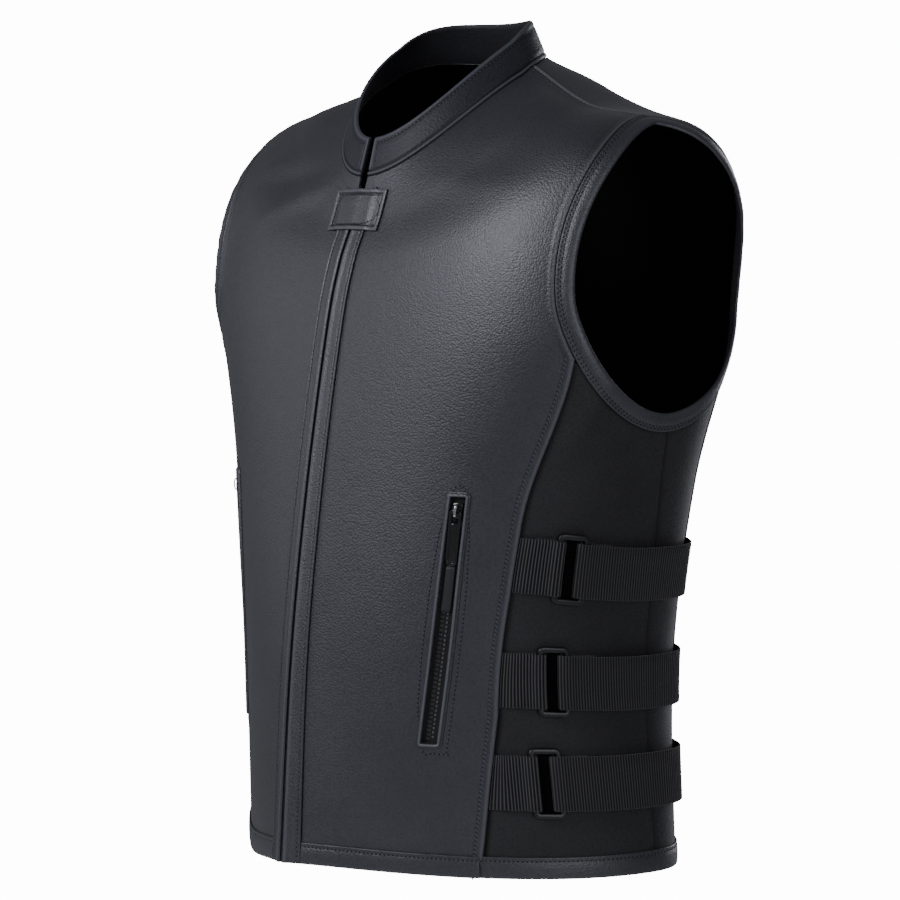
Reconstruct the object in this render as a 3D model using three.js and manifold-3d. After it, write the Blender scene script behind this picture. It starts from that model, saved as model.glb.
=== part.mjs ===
import * as THREE from "three";
import Module from "manifold-3d";

const { clamp, degToRad, lerp, mapLinear, smoothstep } = THREE.MathUtils;

// A leather vest, open and hollow as it is when worn: two fronts that close on a centre zip, one back,
// side panels of smoother leather, a band collar, bound armholes, two slanted zip pockets and three
// buckled webbing straps on each side. Millimetres, +Z up. The front faces -Y and the wearer's left
// is +X. The origin lies level with the sides of the neck, where the shoulders carry the vest.

// Thicknesses and gaps
const leatherWall = 2;
const sideWall = 1.6;
const sideInset = 1.2;        // the side panels lie this far inside the fronts and the back
const trimWall = 1.2;
const webbingWall = 1.5;
const seamGap = 0.3;
const collarWall = 2.6;
const collarClear = 0.5;      // the neck seam curves more tightly than the others
const bindingWall = 3;
const bindingForm = { crownAt: 4, crown: 0.8, foot: 0.8, roll: 1.2 };      // its rounded section

// Widths of the trims
const hemBandHeight = 16;
const frontEdgeWidth = 15;
const bindingWidth = 14.5;
const frontGap = 1.5;         // from the centre to each front's edge
const collarGap = 4.5;

// Places of the seams, in degrees from the centre front round to the centre back
const centreBack = 180;
const shoulderAtNeck = 101;
const sideSeamAngle = 90;
const armholeTop = 90;        // angles round the armhole itself: 0 is its back, 90 its top
const armholeSideSeam = 274;
const armholeFrontSeam = 207;
const armholeBackSeam = -27;

const hemRow = 0;
const neckRow = 6;

function table(columns, rows) {
  const names = columns.split(" ");
  return rows.map((row) => Object.fromEntries(names.map((name, i) => [name, row[i]])));
}

// The rings of the body from the hem to the neck, then the top edge of the collar
const ringColumns = "z half front back middle frontDrop backDrop backRise frontPower backPower keel tilt";
const bodyRings = table(ringColumns, [
  [-583, 206, -139, 99, 20, 0, 0, 0, 1.95, 2.2, 32, 0],          // hem
  [-430, 194, -146, 106, 20, 0, 0, 0, 2.15, 2.35, 14, 0],        // waist
  [-300, 213, -132, 112, 20, 0, 0, 0, 2.5, 2.4, 12, 0],          // under the chest
  [-180, 240, -119, 130, 20, -6, 10, 0, 2.7, 2.55, 6, 0],        // chest
  [-52, 229, -113, 121, 22, -86, -48, -9, 2.35, 2.35, 0, 0],     // shoulder tips
  [-23, 148, -101, 84, -6, -85, -10, 13, 2.1, 2.05, 0, 0.3],     // half way up the shoulders
  [0, 81, -92, 56, -5, -75, 13, 0, 2.05, 2.05, 0, 1],            // neck seam
]);
const collarTop = table(ringColumns, [[25, 67.5, -84, 47, -6, -71, 18, 0, 2, 2.05, 0, 1]])[0];
const ridgeScale = 6.75;      // makes backRise the height of the ridge at its highest place

// The armhole seam, an egg seen from the side
const armhole = { front: -76.5, back: 93.5, top: -33, bottom: -259, widest: -162, power: 1.9 };

// The seams between the fronts, the sides and the back: height and angle
const frontSeam = table("z angle", [
  [-583, 44.2], [-516, 47.8], [-464, 50.8], [-375, 52.6], [-305, 52.8], [-235, 54],
]);
const backSeam = table("z angle", [
  [-583, 126], [-516, 125], [-464, 124], [-375, 122.5], [-305, 121], [-235, 119],
]);

// The straps on each side: height of the middle at the front seam and at the side, and the buckle's edge
const straps = table("name frontHeight sideHeight buckleFrom", [
  ["upper", -353, -362, 28],
  ["middle", -437, -443, 27],
  ["lower", -512, -515, 29],
]);
const strapWidth = 40;
const strapClear = 0.7;       // the webbing lies this far off the side panels
const buckleLift = strapClear + webbingWall + seamGap - sideInset;
const buckle = { width: 24, height: 52, bar: 4.5, lift: buckleLift, wall: 3, corner: 5 };

// The pockets: middle of the ends of the opening that is cut through each front
const pocket = {
  topX: 136.5, topZ: -304.5, bottomX: 113, bottomZ: -485.5, opening: 12, welt: 4, lift: 0.5, wall: 1.5,
};

// The pocket zip's slider at the top of its run, the crown on it, and the pull that swings in the crown
const slider = { width: 8.4, length: 12, wall: 2.2, fromEnd: 4 };
const crown = { width: 2.4, reach: 4.2, inside: 3, wall: 1.1 };
const pull = { width: 9.4, length: 42, wall: 1.3, bar: 2.2, corner: 4.2, endRise: 1.5 };
const tag = { width: 7, length: 34, rise: 0.4, wall: 0.9 };
const zipTape = { wall: 0.9, clear: 0.6, wider: 5, reach: 12 };

// The leather tab across the top of the centre front
const tab = { from: -29, to: 31, top: -84.5, bottom: -115.5 };

// Points on the body
function mixRings(rings, row) {
  const last = rings.length - 1;
  const at = Math.min(Math.max(row, 0), last);
  const i = Math.min(Math.floor(at), last - 1);
  const t = at - i;
  const mixed = {};
  for (const key of Object.keys(rings[0])) {
    const b = rings[i][key];
    const c = rings[i + 1][key];
    const a = i > 0 ? rings[i - 1][key] : 2 * b - c;
    const d = i + 2 <= last ? rings[i + 2][key] : 2 * c - b;
    const square = 2 * a - 5 * b + 4 * c - d;
    const cube = 3 * b - a - 3 * c + d;
    mixed[key] = 0.5 * (2 * b + (c - a) * t + square * t ** 2 + cube * t ** 3);
  }
  return mixed;
}

function ringPoint(ring, angle) {
  const s = Math.sin(degToRad(angle));
  const c = Math.cos(degToRad(angle));
  const inFront = c >= 0;
  const power = 2 / (inFront ? ring.frontPower : ring.backPower);
  const depth = inFront ? ring.middle - ring.front : ring.back - ring.middle;
  const keel = inFront ? ring.keel * (1 - Math.abs(s)) ** 2 : 0;
  const drop = inFront ? ring.frontDrop * c ** 2 : ring.backDrop * c ** 4;
  const tilted = ((ring.frontDrop - ring.backDrop) * c + (ring.frontDrop + ring.backDrop) * c * c) / 2;
  const ridge = inFront ? 0 : ring.backRise * ridgeScale * c * c * (1 + c);
  return new THREE.Vector3(
    ring.half * Math.sign(s) * Math.abs(s) ** power,
    ring.middle - Math.sign(c) * depth * Math.abs(c) ** power - keel,
    ring.z + (1 - ring.tilt) * drop + ring.tilt * tilted + ridge,
  );
}

const surface = (angle, row) => ringPoint(mixRings(bodyRings, row), angle);

function frameAt(angle, row) {
  const step = 0.25;
  const rowStep = 0.01;
  const round = surface(angle + step, row).sub(surface(angle - step, row)).divideScalar(2 * step);
  const low = Math.max(row - rowStep, hemRow);
  const high = Math.min(row + rowStep, neckRow);
  const up = surface(angle, high).sub(surface(angle, low)).normalize();
  const out = round.clone().cross(up).normalize();
  return { point: surface(angle, row), out, up, round };
}

const moved = (frame, out) => frame.point.clone().addScaledVector(frame.out, out);

function bisect(low, high, isLow) {
  for (let i = 0; i < 40; i += 1) {
    const middle = (low + high) / 2;
    if (isLow(middle)) low = middle;
    else high = middle;
  }
  return (low + high) / 2;
}

const rowAtHeight = (angle, z) => bisect(hemRow, neckRow, (row) => surface(angle, row).z < z);
const widthAt = (angle, row) => surface(angle, row).x;
const angleAtWidth = (x, row) => Math.sign(x) * bisect(0, 89, (angle) => widthAt(angle, row) < Math.abs(x));
const degreesFor = (length, angle, row) => length / frameAt(angle, row).round.length();

function onFront(x, z, out) {
  let row = rowAtHeight(0, z);
  let angle = 0;
  for (let i = 0; i < 12; i += 1) {
    angle = angleAtWidth(x, row);
    row = rowAtHeight(angle, z);
  }
  return moved(frameAt(angle, row), out);
}

const onSide = (angle, z, out) => moved(frameAt(angle, rowAtHeight(angle, z)), out);

function seamAngle(rows, z) {
  const i = Math.max(0, Math.min(rows.length - 2, rows.findIndex((row) => row.z > z) - 1));
  const from = rows.some((row) => row.z > z) ? rows[i] : rows[rows.length - 2];
  const to = rows[rows.indexOf(from) + 1];
  return mapLinear(z, from.z, to.z, from.angle, to.angle);
}

// The place on the body under one point of the armhole's egg, found step by step from a first guess
const degreesPerMillimetre = 0.35;

function armholePlace(turn) {
  const s = Math.sin(degToRad(turn));
  const c = Math.cos(degToRad(turn));
  const power = 2 / armhole.power;
  const centre = (armhole.front + armhole.back) / 2;
  const reach = s >= 0 ? armhole.top - armhole.widest : armhole.widest - armhole.bottom;
  const y = centre + ((armhole.back - armhole.front) / 2) * Math.sign(c) * Math.abs(c) ** power;
  const z = armhole.widest + reach * Math.sign(s) * Math.abs(s) ** power;
  let angle = sideSeamAngle + (y - centre) * degreesPerMillimetre;
  let row = bisect(hemRow, neckRow, (value) => mixRings(bodyRings, value).z < z);
  const step = 1e-3;
  for (let i = 0; i < 16; i += 1) {
    const here = surface(angle, row);
    const a = surface(angle + step, row).sub(here).divideScalar(step);
    const b = surface(angle, row + step).sub(here).divideScalar(step);
    const missY = here.y - y;
    const missZ = here.z - z;
    const det = a.y * b.z - a.z * b.y;
    angle += clamp((missZ * b.y - missY * b.z) / det, -20, 20);
    row += clamp((missY * a.z - missZ * a.y) / det, -0.6, 0.6);
    angle = clamp(angle, 3, 177);
    row = clamp(row, 0.2, 5.9);
  }
  return { angle, row };
}

// Solids, with their faces turned outwards
const volumeOf = (points, faces) => faces.reduce(
  (sum, [a, b, c]) => sum + points[a].dot(points[b].clone().cross(points[c])),
  0,
);

function solid(name, points, faces, material) {
  const turned = volumeOf(points, faces) < 0 ? faces.map(([a, b, c]) => [a, c, b]) : faces;
  const geometry = new THREE.BufferGeometry();
  const numbers = points.flatMap((point) => point.toArray());
  geometry.setAttribute("position", new THREE.Float32BufferAttribute(numbers, 3));
  geometry.setIndex(turned.flat());
  geometry.computeVertexNormals();
  const mesh = new THREE.Mesh(geometry, material);
  mesh.name = name;
  return mesh;
}

// Closed loops of points joined one after the other, with the ends capped or the whole made a ring
function tube(name, loops, material, ring = false) {
  const size = loops[0].length;
  const faces = [];
  const count = ring ? loops.length : loops.length - 1;
  for (let i = 0; i < count; i += 1) {
    const next = ((i + 1) % loops.length) * size;
    for (let k = 0; k < size; k += 1) {
      const l = (k + 1) % size;
      faces.push([i * size + k, i * size + l, next + l], [i * size + k, next + l, next + k]);
    }
  }
  if (!ring) {
    const end = (loops.length - 1) * size;
    for (let k = 1; k < size - 1; k += 1) {
      faces.push([0, k + 1, k], [end, end + k, end + k + 1]);
    }
  }
  return solid(name, loops.flat(), faces, material);
}

// A wall between an outer and an inner grid of points, whose columns run round and whose rows run up
function wall(name, outer, inner, material) {
  const rows = outer.length;
  const columns = outer[0].length;
  const size = rows * columns;
  const faces = [];
  const quad = (a, b, c, d) => faces.push([a, b, c], [a, c, d]);
  const at = (i, j) => i * columns + j;
  const end = columns - 1;
  for (let i = 0; i < rows - 1; i += 1) {
    for (let j = 0; j < columns - 1; j += 1) {
      quad(at(i, j), at(i, j + 1), at(i + 1, j + 1), at(i + 1, j));
      quad(size + at(i, j), size + at(i + 1, j), size + at(i + 1, j + 1), size + at(i, j + 1));
    }
    quad(at(i, 0), at(i + 1, 0), size + at(i + 1, 0), size + at(i, 0));
    quad(size + at(i, end), size + at(i + 1, end), at(i + 1, end), at(i, end));
  }
  for (let j = 0; j < columns - 1; j += 1) {
    quad(size + at(0, j), size + at(0, j + 1), at(0, j + 1), at(0, j));
    quad(at(rows - 1, j), at(rows - 1, j + 1), size + at(rows - 1, j + 1), size + at(rows - 1, j));
  }
  return solid(name, [...outer.flat(), ...inner.flat()], faces, material);
}

// Materials
function finish(color, roughness, metalness) {
  return new THREE.MeshStandardMaterial({ color, roughness, metalness });
}
const leather = () => finish(0x2a2a30, 0.5, 0);
const sideLeather = () => finish(0x1c1c1d, 0.75, 0);
const webbing = () => finish(0x141415, 0.85, 0);
const blackPlastic = () => finish(0x0b0b0c, 0.4, 0);
const zipTapeCloth = () => finish(0x0c0c0d, 0.9, 0);
const blackMetal = () => finish(0x17171a, 0.35, 0.8);

// Curves of places, each a list of stretches with its number of steps
function places(stretches) {
  const list = [];
  for (const { steps, at } of stretches) {
    for (let i = list.length ? 1 : 0; i <= steps; i += 1) list.push(at(i / steps));
  }
  return list;
}

function mix(a, b, t) {
  return { angle: lerp(a.angle, b.angle, t), row: lerp(a.row, b.row, t) };
}

function nudge(place, length) {
  return { angle: place.angle + degreesFor(length, place.angle, place.row), row: place.row };
}

// Steps of every grid, shared so that neighbours meet point for point
const steps = {
  hem: 1, side: 9, chest: 7, neck: 9, frontArm: 16, backArm: 16, sideFront: 6, sideBack: 6, front: 7,
  backNeck: 10,
};
const hemBandRow = rowAtHeight(sideSeamAngle, bodyRings[0].z + hemBandHeight);
const halfGap = seamGap / 2;

const armholePlaces = (from, to) => (t) => armholePlace(lerp(from, to, t));
const frontCorner = armholePlace(armholeFrontSeam);
const backCorner = armholePlace(armholeBackSeam);
const sideCorner = armholePlace(armholeSideSeam);
const tip = armholePlace(armholeTop);

// A seam from the hem up to the armhole, which ends in the armhole's own point
function seamPlaces(rows, corner) {
  const angleAt = (row) => {
    const z = surface(sideSeamAngle, row).z;
    const blend = smoothstep(row, corner.row - 1, corner.row);
    return lerp(seamAngle(rows, z), corner.angle, blend);
  };
  const at = (row) => ({ angle: angleAt(row), row });
  return places([
    { steps: steps.hem, at: (t) => at(t * hemBandRow) },
    { steps: steps.side, at: (t) => at(lerp(hemBandRow, corner.row, t)) },
  ]);
}

const frontSeamPlaces = seamPlaces(frontSeam, frontCorner);
const backSeamPlaces = seamPlaces(backSeam, backCorner);
const straightSeam = bodyRings.slice(0, 2).map((ring) => ({ z: ring.z, angle: sideSeamAngle }));
const sideSeamPlaces = seamPlaces(straightSeam, sideCorner);

// A grid of places between four edges, left and right running up, bottom and top running round
function grid(left, right, top) {
  const rows = left.length - 1;
  const columns = top.length - 1;
  const cornerLine = (t) => mix(top[0], top[columns], t);
  return left.map((from, i) => top.map((over, j) => {
    const place = mix(from, right[i], j / columns);
    const flat = cornerLine(j / columns);
    const t = (i / rows) ** 2;
    const rise = { angle: over.angle - flat.angle, row: over.row - flat.row };
    return { angle: place.angle + t * rise.angle, row: place.row + t * rise.row };
  }));
}

const onBody = ({ angle, row }, out) => moved(frameAt(angle, row), out);
const lift = (cells, out) => cells.map((line) => line.map((place) => onBody(place, out)));

function panel(name, cells, out, thickness, material) {
  return wall(name, lift(cells, out), lift(cells, out - thickness), material);
}

// How far each front's edge lies from the centre: the fronts part a little below the collar
const partingRow = 4.9;

function edgeFromCentre(row) {
  const opened = smoothstep(row, partingRow, neckRow);
  return lerp(frontGap, collarGap, opened);
}

// Fronts
const neckRows = steps.hem + steps.side + steps.chest;
function frontEdgePlace(row, extra) {
  return { angle: angleAtWidth(edgeFromCentre(row) + extra, row), row };
}
const neckCorner = frontEdgePlace(neckRow, 0);
const shoulderNeck = nudge({ angle: shoulderAtNeck, row: neckRow }, -halfGap);

function frontBoundary(extra) {
  const edge = (from, to) => (t) => frontEdgePlace(lerp(from, to, t), extra);
  return places([
    { steps: steps.hem, at: edge(hemRow, hemBandRow) },
    { steps: steps.side, at: edge(hemBandRow, frontCorner.row) },
    { steps: steps.chest, at: edge(frontCorner.row, neckRow) },
    { steps: steps.neck, at: (t) => mix(neckCorner, shoulderNeck, t) },
  ]);
}

const frontSide = [
  ...frontSeamPlaces.map((place) => nudge(place, -halfGap)),
  ...places([{ steps: steps.frontArm, at: armholePlaces(armholeFrontSeam, armholeTop) }]).slice(1),
];
frontSide[frontSide.length - 1] = nudge(tip, -halfGap);

const innerShare = 0.08;
const frontStart = frontBoundary(0);
const frontStrip = frontBoundary(frontEdgeWidth).map(
  (place, i) => (i < neckRows ? place : mix(frontStart[i], frontSide[i], innerShare)),
);

// The fronts' columns as shares of the way across; along the shoulder the back has the same ones
const columnShares = Array.from({ length: steps.front + 1 }, (_, j) => j / steps.front);
const shoulderShares = [0, ...columnShares.map((share) => lerp(innerShare, 1, share))];

function frontCells() {
  return frontStart.map((edge, i) => {
    const line = columnShares.map((share) => mix(frontStrip[i], frontSide[i], share));
    return [edge, ...line];
  });
}

// Back, with the shoulders and the neck along its top
function backCells() {
  const side = [
    ...backSeamPlaces.map((place) => nudge(place, halfGap)),
    ...places([{ steps: steps.backArm, at: armholePlaces(armholeBackSeam, armholeTop) }]).slice(1),
  ];
  side[side.length - 1] = nudge(tip, halfGap);
  const otherSide = side.map((place) => ({ angle: 2 * centreBack - place.angle, row: place.row }));
  const neck = nudge({ angle: shoulderAtNeck, row: neckRow }, halfGap);
  const otherNeck = { angle: 2 * centreBack - neck.angle, row: neckRow };
  const shoulder = shoulderShares.map((share) => mix(neck, side[side.length - 1], share));
  const otherShoulder = shoulderShares.map((share) => mix(otherNeck, otherSide[side.length - 1], share));
  const acrossNeck = places([{ steps: steps.backNeck, at: (t) => mix(neck, otherNeck, t) }]).slice(1, -1);
  return grid(side, otherSide, [...shoulder.reverse(), ...acrossNeck, ...otherShoulder]);
}

// Side panels, each between two seams with the armhole along its top
function sideCells(fromSeam, toSeam, fromTurn, toTurn, columns) {
  const left = fromSeam.map((place) => nudge(place, halfGap));
  const right = toSeam.map((place) => nudge(place, -halfGap));
  const top = places([{ steps: columns, at: armholePlaces(fromTurn, toTurn) }]);
  top[0] = left[left.length - 1];
  top[columns] = right[right.length - 1];
  return grid(left, right, top);
}

// Armhole binding: a folded strip that carries the edge on into the opening
function bindingLoops() {
  const between = (from, to) => (t) => lerp(from, to, t);
  const turns = places([
    { steps: steps.frontArm, at: between(armholeFrontSeam, armholeTop) },
    { steps: steps.backArm, at: between(armholeTop, armholeBackSeam) },
    { steps: steps.sideBack, at: between(armholeBackSeam, armholeSideSeam - 360) },
    { steps: steps.sideFront, at: between(armholeSideSeam - 360, armholeFrontSeam - 360) },
  ]).slice(0, -1);
  const frames = turns.map((turn) => {
    const place = armholePlace(turn);
    return frameAt(place.angle, place.row);
  });
  // along the edge's inward direction, and out from the surface
  const { crownAt, crown, foot, roll } = bindingForm;
  const section = [
    [seamGap, foot - bindingWall],
    [seamGap, crown / 2],
    [crownAt, crown],
    [bindingWidth - roll, crown / 4],
    [bindingWidth, -roll],
    [bindingWidth - roll, crown / 2 - bindingWall],
  ];
  return frames.map((frame, i) => {
    const before = frames[(i + frames.length - 1) % frames.length].point;
    const after = frames[(i + 1) % frames.length].point;
    const along = after.clone().sub(before).normalize();
    const inward = along.clone().cross(frame.out).normalize();
    return section.map(([across, out]) => moved(frame, out).addScaledVector(inward, across));
  });
}

// Collar: a band from the neck seam to its own top ring
function collarLoops() {
  const inset = 1.5;
  const puff = 0.6;
  const rim = 1.02;
  const start = neckCorner.angle;
  const otherShoulder = 2 * centreBack - shoulderAtNeck;
  const angles = places([
    { steps: steps.neck, at: (t) => lerp(start, shoulderAtNeck, t) },
    { steps: steps.backNeck, at: (t) => lerp(shoulderAtNeck, otherShoulder, t) },
    { steps: steps.neck, at: (t) => lerp(otherShoulder, 2 * centreBack - start, t) },
  ]);
  return angles.map((angle) => {
    const foot = frameAt(angle, neckRow);
    const base = foot.point.clone().addScaledVector(foot.up, collarClear);
    const top = ringPoint(collarTop, angle);
    const rise = top.clone().sub(base).normalize();
    const out = foot.round.clone().cross(rise).normalize();
    const at = (share, depth) => base.clone().lerp(top, share).addScaledVector(out, -depth);
    return [
      foot.point.clone().addScaledVector(foot.out, -leatherWall).addScaledVector(foot.up, collarClear),
      base,
      at(0.5, -puff),
      at(1, 0),
      at(rim, inset),
      at(1, collarWall),
      at(0.5, collarWall),
    ];
  });
}

// Webbing and buckles run round the side; a length along it is measured from the front seam
function strapCourse(strap) {
  const start = seamAngle(frontSeam, strap.frontHeight);
  const end = seamAngle(backSeam, strap.sideHeight);
  const heightAt = (angle) => {
    const t = smoothstep(angle, start, sideSeamAngle);
    return lerp(strap.frontHeight, strap.sideHeight, t);
  };
  const marks = [{ angle: start, length: 0 }];
  const stepAngle = 0.5;
  for (let angle = start + stepAngle; angle < end + 1; angle += stepAngle) {
    const last = marks[marks.length - 1];
    const gone = onSide(angle, heightAt(angle), 0).distanceTo(onSide(last.angle, heightAt(last.angle), 0));
    marks.push({ angle, length: last.length + gone });
  }
  const angleAt = (length) => {
    const after = marks.findIndex((mark) => mark.length > length);
    const i = Math.min(marks.length - 2, Math.max(0, after - 1));
    return mapLinear(length, marks[i].length, marks[i + 1].length, marks[i].angle, marks[i + 1].angle);
  };
  const endMark = marks.find((mark) => mark.angle >= end);
  // both ends follow the slant of the seams that they are sewn into
  const total = endMark.length;
  const fadeLength = 14;
  const at = (length, up, out) => {
    const middle = heightAt(angleAt(length));
    const frontSlant = seamAngle(frontSeam, middle + up) - seamAngle(frontSeam, middle);
    const backSlant = seamAngle(backSeam, middle + up) - seamAngle(backSeam, middle);
    const nearFront = 1 - clamp(length / fadeLength, 0, 1);
    const nearBack = 1 - clamp((total - length) / fadeLength, 0, 1);
    const angle = angleAt(length) + frontSlant * nearFront + backSlant * nearBack;
    return onSide(angle, middle + up, out);
  };
  return { at, total };
}

// A band of webbing through points of length and height off the surface, which may fold back on itself
function webbingLoops(course, path) {
  const half = webbingWall / 2;
  return path.map(([length, out], i) => {
    const before = path[Math.max(0, i - 1)];
    const after = path[Math.min(path.length - 1, i + 1)];
    const run = Math.hypot(after[0] - before[0], after[1] - before[1]);
    const side = [-(after[1] - before[1]) / run * half, (after[0] - before[0]) / run * half];
    const edge = strapWidth / 2;
    const corner = (sign, up) => course.at(length + sign * side[0], up, out + sign * side[1]);
    return [corner(-1, -edge), corner(1, -edge), corner(1, edge), corner(-1, edge)];
  });
}

function frontWebbingPath(strap) {
  const bar = strap.buckleFrom + buckle.bar / 2;
  const flat = -sideInset + strapClear + webbingWall / 2;
  const over = buckle.lift + buckle.wall + seamGap + webbingWall / 2;
  const turn = bar + buckle.bar / 2 + 1.5 * seamGap + webbingWall / 2;
  return [
    [2 * seamGap + 0.3, flat],
    [4, flat + 0.2],
    [9, flat + webbingWall + seamGap + 0.2],
    [bar - 8, flat + webbingWall + seamGap + 0.6],
    [bar - 4.5, over - 1.1],
    [bar - 3, over - 0.15],
    [bar - 1, over],
    [bar + 2.5, over],
    [turn, over - 0.9],
    [turn, flat + 0.9],
    [bar + 2.5, flat],
    [bar - 5, flat],
    [12, flat],
  ];
}

function rearWebbingPath(strap, total) {
  const bar = strap.buckleFrom + buckle.width - buckle.bar / 2;
  const flat = -sideInset + strapClear + webbingWall / 2;
  const over = buckle.lift + buckle.wall + seamGap + webbingWall / 2;
  const turn = bar - buckle.bar / 2 - 1.5 * seamGap - webbingWall / 2;
  const proud = 6.4;
  const span = total - bar;
  return [
    [bar + 22, flat],
    [bar + 5, flat],
    [bar - 2.5, flat],
    [turn, flat + 0.9],
    [turn, over - 0.9],
    [bar - 2.5, over],
    [bar + 1, over],
    [bar + 3, over - 0.1],
    [bar + 6, over - 0.6],
    [bar + 0.2 * span, over - 0.7],
    [bar + 0.35 * span, over],
    [bar + 0.5 * span, proud - 0.4],
    [bar + 0.62 * span, proud],
    [bar + 0.72 * span, proud],
    [bar + 0.82 * span, proud - 1.6],
    [bar + 0.92 * span, flat + 1.6],
    [total - 3, flat + 0.2],
    [total - 2 * seamGap - 0.3, flat],
  ];
}

// A flat ring that follows a rounded rectangle, mapped on the garment by a function of across, up and out
const frameBevel = 0.5;

function frameLoops({ width, height, corner, bar }, low, high, at, longSteps, shortSteps) {
  const outline = [];
  const arcSteps = 3;
  const corners = [[1, 1], [-1, 1], [-1, -1], [1, -1]];
  corners.forEach(([sx, sy], k) => {
    for (let i = 0; i <= arcSteps; i += 1) {
      const turn = degToRad(90 * (k + i / arcSteps));
      const direction = [Math.cos(turn), Math.sin(turn)];
      outline.push({ x: sx * (width / 2 - corner), y: sy * (height / 2 - corner), direction });
    }
    const [nx, ny] = corners[(k + 1) % corners.length];
    const count = nx === sx ? longSteps : shortSteps;
    const last = outline[outline.length - 1];
    for (let i = 1; i < count; i += 1) {
      const x = lerp(last.x, nx * (width / 2 - corner), i / count);
      const y = lerp(last.y, ny * (height / 2 - corner), i / count);
      outline.push({ x, y, direction: last.direction });
    }
  });
  return outline.map(({ x, y, direction }) => {
    const point = (reach, out) => at(x + direction[0] * reach, y + direction[1] * reach, out);
    const inner = corner - bar;
    return [
      point(inner, low),
      point(corner, low),
      point(corner, high - frameBevel),
      point(corner - frameBevel, high),
      point(inner, high),
    ];
  });
}

// A pocket's own directions: across its opening and along its slant
function pocketCourse() {
  const middle = [(pocket.topX + pocket.bottomX) / 2, (pocket.topZ + pocket.bottomZ) / 2];
  const run = [pocket.topX - pocket.bottomX, pocket.topZ - pocket.bottomZ];
  const sideways = 0.86;      // the front turns away here, so a width round it is shorter across
  const length = Math.hypot(run[0] / sideways, run[1]);
  const at = (across, along, out) => {
    const x = middle[0] + (run[0] / length) * along + across * sideways;
    const z = middle[1] + (run[1] / length) * along;
    return onFront(x, z, out);
  };
  return { at, length };
}

function block(name, at, box, material, count = 2) {
  const [acrossFrom, acrossTo, alongFrom, alongTo, low, high] = box;
  const bevel = Math.min(0.5, (high - low) / 3);
  const loop = (along) => [
    at(acrossFrom, along, low),
    at(acrossTo, along, low),
    at(acrossTo, along, high - bevel),
    at(acrossTo - bevel, along, high),
    at(acrossFrom + bevel, along, high),
    at(acrossFrom, along, high - bevel),
  ];
  const marks = Array.from({ length: count + 1 }, (_, i) => lerp(alongFrom, alongTo, i / count));
  return tube(name, marks.map(loop), material);
}

function mirrored(mesh, name) {
  const geometry = mesh.geometry.clone();
  geometry.scale(-1, 1, 1);
  const index = geometry.getIndex();
  for (let i = 0; i < index.count; i += 3) {
    const first = index.getX(i);
    index.setX(i, index.getX(i + 1));
    index.setX(i + 1, first);
  }
  geometry.computeVertexNormals();
  const copy = new THREE.Mesh(geometry, mesh.material.clone());
  copy.name = name;
  return copy;
}

const vest = new THREE.Group();

function addPair(make) {
  const left = make("left");
  vest.add(left, mirrored(left, left.name.replace("left", "right")));
}

// A panel with the pocket's opening cut through it
function toManifold(mesh) {
  const vertProperties = mesh.geometry.getAttribute("position").array;
  const triVerts = new Uint32Array(mesh.geometry.getIndex().array);
  return new wasm.Manifold(new wasm.Mesh({ numProp: 3, vertProperties, triVerts }));
}

function cutThrough(mesh, cutter) {
  const cut = toManifold(mesh).subtract(toManifold(cutter)).getMesh();
  const geometry = new THREE.BufferGeometry();
  geometry.setAttribute("position", new THREE.BufferAttribute(cut.vertProperties, 3));
  geometry.setIndex(Array.from(cut.triVerts));
  geometry.computeVertexNormals();
  const result = new THREE.Mesh(geometry, mesh.material);
  result.name = mesh.name;
  return result;
}

const wasm = await Module();
wasm.setup();

const fronts = frontCells();
const welted = pocketCourse();
const openingReach = 4;
const [openAcross, openAlong] = [pocket.opening / 2, welted.length / 2];
const opening = [-openAcross, openAcross, -openAlong, openAlong, -openingReach, openingReach];
addPair((side) => {
  const whole = panel(`front_${side}`, fronts, 0, leatherWall, leather());
  return cutThrough(whole, block("pocket_opening", welted.at, opening, leather(), 6));
});
const back = backCells();
vest.add(panel("back", back, 0, leatherWall, leather()));

const sideFront = sideCells(
  frontSeamPlaces, sideSeamPlaces, armholeFrontSeam, armholeSideSeam, steps.sideFront,
);
const sideBack = sideCells(
  sideSeamPlaces, backSeamPlaces, armholeSideSeam, 360 + armholeBackSeam, steps.sideBack,
);
addPair((side) => panel(`side_front_${side}`, sideFront, -sideInset, sideWall, sideLeather()));
addPair((side) => panel(`side_back_${side}`, sideBack, -sideInset, sideWall, sideLeather()));

addPair((side) => tube(`armhole_binding_${side}`, bindingLoops(), leather(), true));
vest.add(tube("collar", collarLoops(), leather()));

// Hem bands over the lowest rows, and folded edges over the fronts' first column
function trim(name, cells, base, material) {
  return panel(name, cells, base + seamGap + trimWall, trimWall, material);
}
const hemRows = (cells) => cells.slice(0, steps.hem + 1);
const besideEdge = ([, first, ...rest]) => [nudge(first, seamGap), ...rest];
addPair((side) => trim(`hem_front_${side}`, hemRows(fronts).map(besideEdge), 0, leather()));
vest.add(trim("hem_back", hemRows(back), 0, leather()));
addPair((side) => trim(`hem_side_front_${side}`, hemRows(sideFront), -sideInset, leather()));
addPair((side) => trim(`hem_side_back_${side}`, hemRows(sideBack), -sideInset, leather()));
const edgeRows = fronts.slice(0, neckRows - 1).map((line) => line.slice(0, 2));
addPair((side) => trim(`front_edge_${side}`, edgeRows, 0, leather()));

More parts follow.
